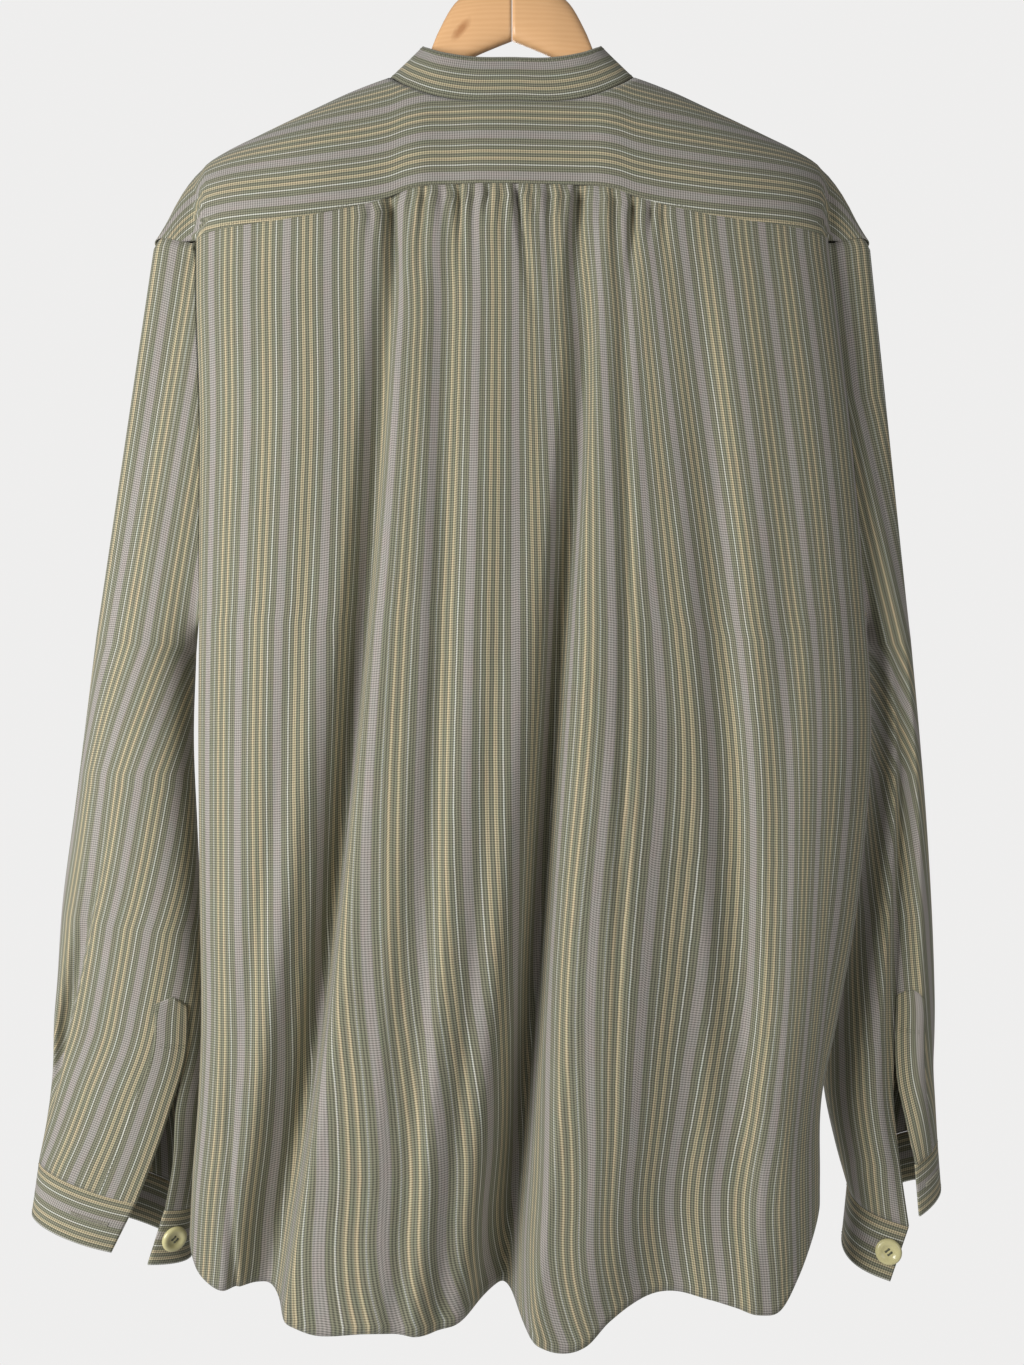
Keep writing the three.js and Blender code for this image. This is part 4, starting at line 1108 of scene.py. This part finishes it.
def make_button(name, node, at, outward, turn, context):
    """A dished button with four thread holes, seated with its flat back on the cloth."""
    radius = context.scene.shirt_sizes.button / 2
    body = bmesh.new()
    section = [body.verts.new((r * radius, 0, h * radius)) for r, h in zip(*BUTTON_SECTION.values())]
    edges = [body.edges.new(pair) for pair in zip(section, section[1:])]
    bmesh.ops.spin(body, geom=section + edges, cent=(0, 0, 0), axis=(0, 0, 1), angle=2 * math.pi,
                   steps=48, use_merge=True)
    bmesh.ops.remove_doubles(body, verts=body.verts, dist=1e-6)
    bmesh.ops.recalc_face_normals(body, faces=body.faces)
    outwards = Vector(outward).to_track_quat("Z", "Y").to_matrix().to_4x4()
    seated = Matrix.Translation(Vector(at * MM)) @ outwards @ Matrix.Rotation(turn, 4, "Z")
    bmesh.ops.transform(body, matrix=seated, verts=body.verts)
    made = piece(name, body, finish_of("cream_resin", context), "button_resin")
    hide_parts(node)
    thread = bmesh.new()
    dish = BUTTON_SECTION["h"][0] * radius + THREAD_LIFT
    out = HOLE_SPREAD * radius
    spots = [Vector((out * x, out * y, dish)) for x, y in ((1, 1), (-1, 1), (-1, -1), (1, -1))]
    for spot in spots:
        bmesh.ops.create_cone(thread, cap_ends=True, segments=12, matrix=seated @ Matrix.Translation(spot),
                              **THREAD_SPOT)
    for a, b in ((0, 1), (2, 3)):
        middle = Matrix.Translation((spots[a] + spots[b]) / 2)
        bmesh.ops.create_icosphere(thread, subdivisions=2, radius=1,
                                   matrix=seated @ middle @ Matrix.Diagonal(THREAD_BAR))
    piece(name + "_thread", thread, finish_of("thread", context), "button_resin")


class SHIRT_OT_buttons(bpy.types.Operator):
    """Make the buttons of the front, the collar and the cuffs"""
    bl_idname = "shirt.buttons"
    bl_label = "Buttons"

    def execute(self, context):
        for k in range(FRONT_BUTTONS):
            z = FIRST_BUTTON_Z - k * BUTTON_PITCH
            at = place(0, front_y(0.0, z) + BAND_LIFT + BUTTON_SEAT, z)
            make_button(f"front_button_{k + 1}", f"button_front_{k + 1}", at, (0, 1, 0), 0.3 + k, context)
        at, outward = facing(collar_point, COLLAR_BUTTON_TURN, 0.52, 1)
        make_button("collar_button", "button_collar", at + outward * BUTTON_SEAT, outward, 0.5, context)
        for name, (side, rows, fall) in SLEEVES.items():
            cuff = partial(cuff_point, side, rows, fall)
            at, outward = facing(cuff, CUFF_BUTTON_TURN, 0.5, -side)
            make_button(f"cuff_button_{name}", f"button_cuff_{name}", at + outward * BUTTON_SEAT, outward,
                        0.7, context)
        return {"FINISHED"}


# Stitches
CUFF_BUTTONHOLE = (0.035, 0.125)    # from end to end round the cuff
FRONT_BUTTONHOLE = (12, -12)        # above and below the button's middle
BUTTONHOLE_GAP = 1.6                # between the two rows of thread beside the slit
BUTTONHOLE_PITCH = 0.8
BUTTONHOLE_WIDTH = 1.3
BACK_LENGTH = 720.0                 # from the top to the hem, to turn lengths into shares
FRONT_LENGTH = 730.0


def line(drape, u, v, turned, count=240):
    """A run of points along a drape, with outward directions."""
    us, vs = (np.linspace(*pair, count) for pair in (u, v))
    return facing(drape, us, vs, turned)


def buttonhole(drape, u, v, turned, beside):
    """Two close rows of thread with the slit between them. Beside is the step in u and v to each side."""
    return [line(drape, np.add(u, sign * beside[0]), np.add(v, sign * beside[1]), turned, 60)
            for sign in (-0.5, 0.5)]


class SHIRT_OT_stitches(bpy.types.Operator):
    """Sew the seams, the hem, the plackets and the buttonholes"""
    bl_idname = "shirt.stitches"
    bl_label = "Stitches"

    def execute(self, context):
        sizes = context.scene.shirt_sizes
        hem = 1 - sizes.hem / MM / BACK_LENGTH
        runs = [
            line(back_point, (-0.985, 0.985), (hem, hem), 1, 900),
            line(yoke_surface, (0.27, 0.73), (0.975, 0.975), 1, 600),
            line(collar_point, (0.02, 0.98), (0.07, 0.07), 1, 500),
            line(collar_point, (0.02, 0.98), (0.93, 0.93), 1, 500),
        ]
        runs += [line(band_point, (edge, edge), (0.01, 0.995), 1, 400) for edge in (-13, 13)]
        hem = 1 - sizes.hem / MM / FRONT_LENGTH
        runs += [line(partial(front_point, under=under), (inner, outer), (hem, hem), 1, 400)
                 for inner, outer, under in ((-200, -17, 0), (17, 196, FRONT_LAP))]
        holes = []
        for k in range(FRONT_BUTTONS):
            z = FIRST_BUTTON_Z - k * BUTTON_PITCH
            high, low = ((NECK_FRONT_Z - z - reach) / FRONT_LENGTH for reach in FRONT_BUTTONHOLE)
            holes += buttonhole(band_point, (0, 0), (high, low), 1, (BUTTONHOLE_GAP, 0))
        for side, rows, fall in SLEEVES.values():
            cuff = partial(cuff_point, side, rows, fall)
            strip = partial(placket_point, side, rows)
            holes += buttonhole(cuff, CUFF_BUTTONHOLE, (0.5, 0.5), -side, (0, BUTTONHOLE_GAP / CUFF_HEIGHT))
            runs += [line(strip, (0.08, 0.92), (edge, edge), -side, 60) for edge in (0.2, 0.215)]
            runs += [line(cuff, (0.01, 0.99), (edge, edge), -side) for edge in (0.06, 0.93)]
            runs += [line(strip, (edge, edge), (0.03, 0.99), -side) for edge in (0.06, 0.94)]
        stitches("seam_stitches", runs, finish_of("thread", context), "shirt_cloth",
                 sizes.stitch_pitch / MM, sizes.stitch / MM, sizes.thread / MM)
        stitches("buttonhole_threads", holes, finish_of("pale_thread", context), "shirt_cloth",
                 BUTTONHOLE_PITCH, BUTTONHOLE_PITCH, BUTTONHOLE_WIDTH)
        return {"FINISHED"}


# Hanger
def arm_point(side, turn, out):
    x = lerp(ARM["x"][0], ARM["x"][-1], out)
    top, bottom, y, half = (read(ARM, "x", name, x) for name in ("top", "bottom", "y", "half"))
    angle = 2 * np.pi * turn
    wide, high = (np.sign(part) * np.abs(part) ** 0.75 for part in (np.cos(angle), np.sin(angle)))
    return place(side * x, y + half * wide, (top + bottom) / 2 + (top - bottom) / 2 * high)


def solid(name, columns, rows, drape, node, material, slot):
    """A closed solid: a flat grid rolled into a tube, with both ends filled."""
    grid = bmesh.new()
    bmesh.ops.create_grid(grid, x_segments=columns, y_segments=rows, size=0.5)
    for vertex in grid.verts:
        vertex.co = drape(vertex.co.x + 0.5, vertex.co.y + 0.5) * MM
    bmesh.ops.remove_doubles(grid, verts=grid.verts, dist=0.001 * MM)
    bmesh.ops.holes_fill(grid, edges=[edge for edge in grid.edges if edge.is_boundary], sides=columns + 1)
    bmesh.ops.recalc_face_normals(grid, faces=grid.faces)
    made = piece(name, grid, material, slot)
    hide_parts(node)
    return made


HOOK_RADIUS = 24.0
SHANK_FOOT_Z = -59.6
SHANK_TOP_Z = -52.0


def hook_point(turn, along):
    """The hook's wire: a shank up from the arms, then a bend over the hang point."""
    wire = bpy.context.scene.shirt_sizes.hook_wire / MM
    middle_z = wire / 2 - HOOK_RADIUS
    bend = np.radians(np.arange(-48, 201, 24.8))
    xs = np.concatenate(([0, 0], HOOK_RADIUS * np.cos(bend)))
    zs = np.concatenate(([SHANK_FOOT_Z, SHANK_TOP_Z], middle_z + HOOK_RADIUS * np.sin(bend)))
    steps = np.concatenate(([0], np.cumsum(np.hypot(np.diff(xs), np.diff(zs)) ** 0.5)))
    rows = dict(turn=steps, x=xs, z=zs)
    at = along * steps[-1]
    x, z = (float(read(rows, "turn", name, at)) for name in "xz")
    ahead, behind = (np.array([float(read(rows, "turn", name, at + step)) for name in "xz"])
                     for step in (0.01, -0.01))
    heading = (ahead - behind) / np.linalg.norm(ahead - behind)
    angle = 2 * math.pi * turn
    out = wire / 2 * math.cos(angle)
    return np.array((x - heading[1] * out, wire / 2 * math.sin(angle), z + heading[0] * out))


class SHIRT_OT_hanger(bpy.types.Operator):
    """Make the wooden arms and the steel hook of the hanger"""
    bl_idname = "shirt.hanger"
    bl_label = "Hanger"

    def execute(self, context):
        for name, side in (("left", -1), ("right", 1)):
            solid(f"arm_{name}", 32, 90, lambda turn, out: arm_point(side, turn, out),
                  f"hanger_arm_{name}", finish_of("pale_wood", context), "hanger_wood")
        solid("hook", 20, 110, hook_point, "hanger_hook", finish_of("steel_wire", context), "hook_steel")
        return {"FINISHED"}


class SHIRT_PT_sidebar(bpy.types.Panel):
    """The steps that make the shirt, with its sizes and colours"""
    bl_label = "Mandarin collar shirt"
    bl_space_type = "VIEW_3D"
    bl_region_type = "UI"
    bl_category = "Shirt"

    def draw(self, context):
        for step in STEPS:
            self.layout.operator(step.bl_idname)
        for group in (context.scene.shirt_sizes, context.scene.shirt_colours, context.scene.shirt_stage):
            for name in group.__annotations__:
                self.layout.prop(group, name)


STEPS = (SHIRT_OT_stage, SHIRT_OT_hanger, SHIRT_OT_yoke, SHIRT_OT_collar, SHIRT_OT_back, SHIRT_OT_fronts,
         SHIRT_OT_sleeves, SHIRT_OT_cuffs, SHIRT_OT_buttons, SHIRT_OT_stitches)
GROUPS = {"shirt_sizes": ShirtSizes, "shirt_colours": ShirtColours, "shirt_stage": StageLook}


def register():
    for group in (*GROUPS.values(), *STEPS, SHIRT_PT_sidebar):
        bpy.utils.register_class(group)
    for name, group in GROUPS.items():
        setattr(bpy.types.Scene, name, bpy.props.PointerProperty(type=group))


def unregister():
    for name in GROUPS:
        delattr(bpy.types.Scene, name)
    for group in (SHIRT_PT_sidebar, *STEPS, *GROUPS.values()):
        bpy.utils.unregister_class(group)


def main():
    register()
    for step in STEPS:
        getattr(bpy.ops.shirt, step.bl_idname.split(".")[1])()


if __name__ == "__main__":
    main()
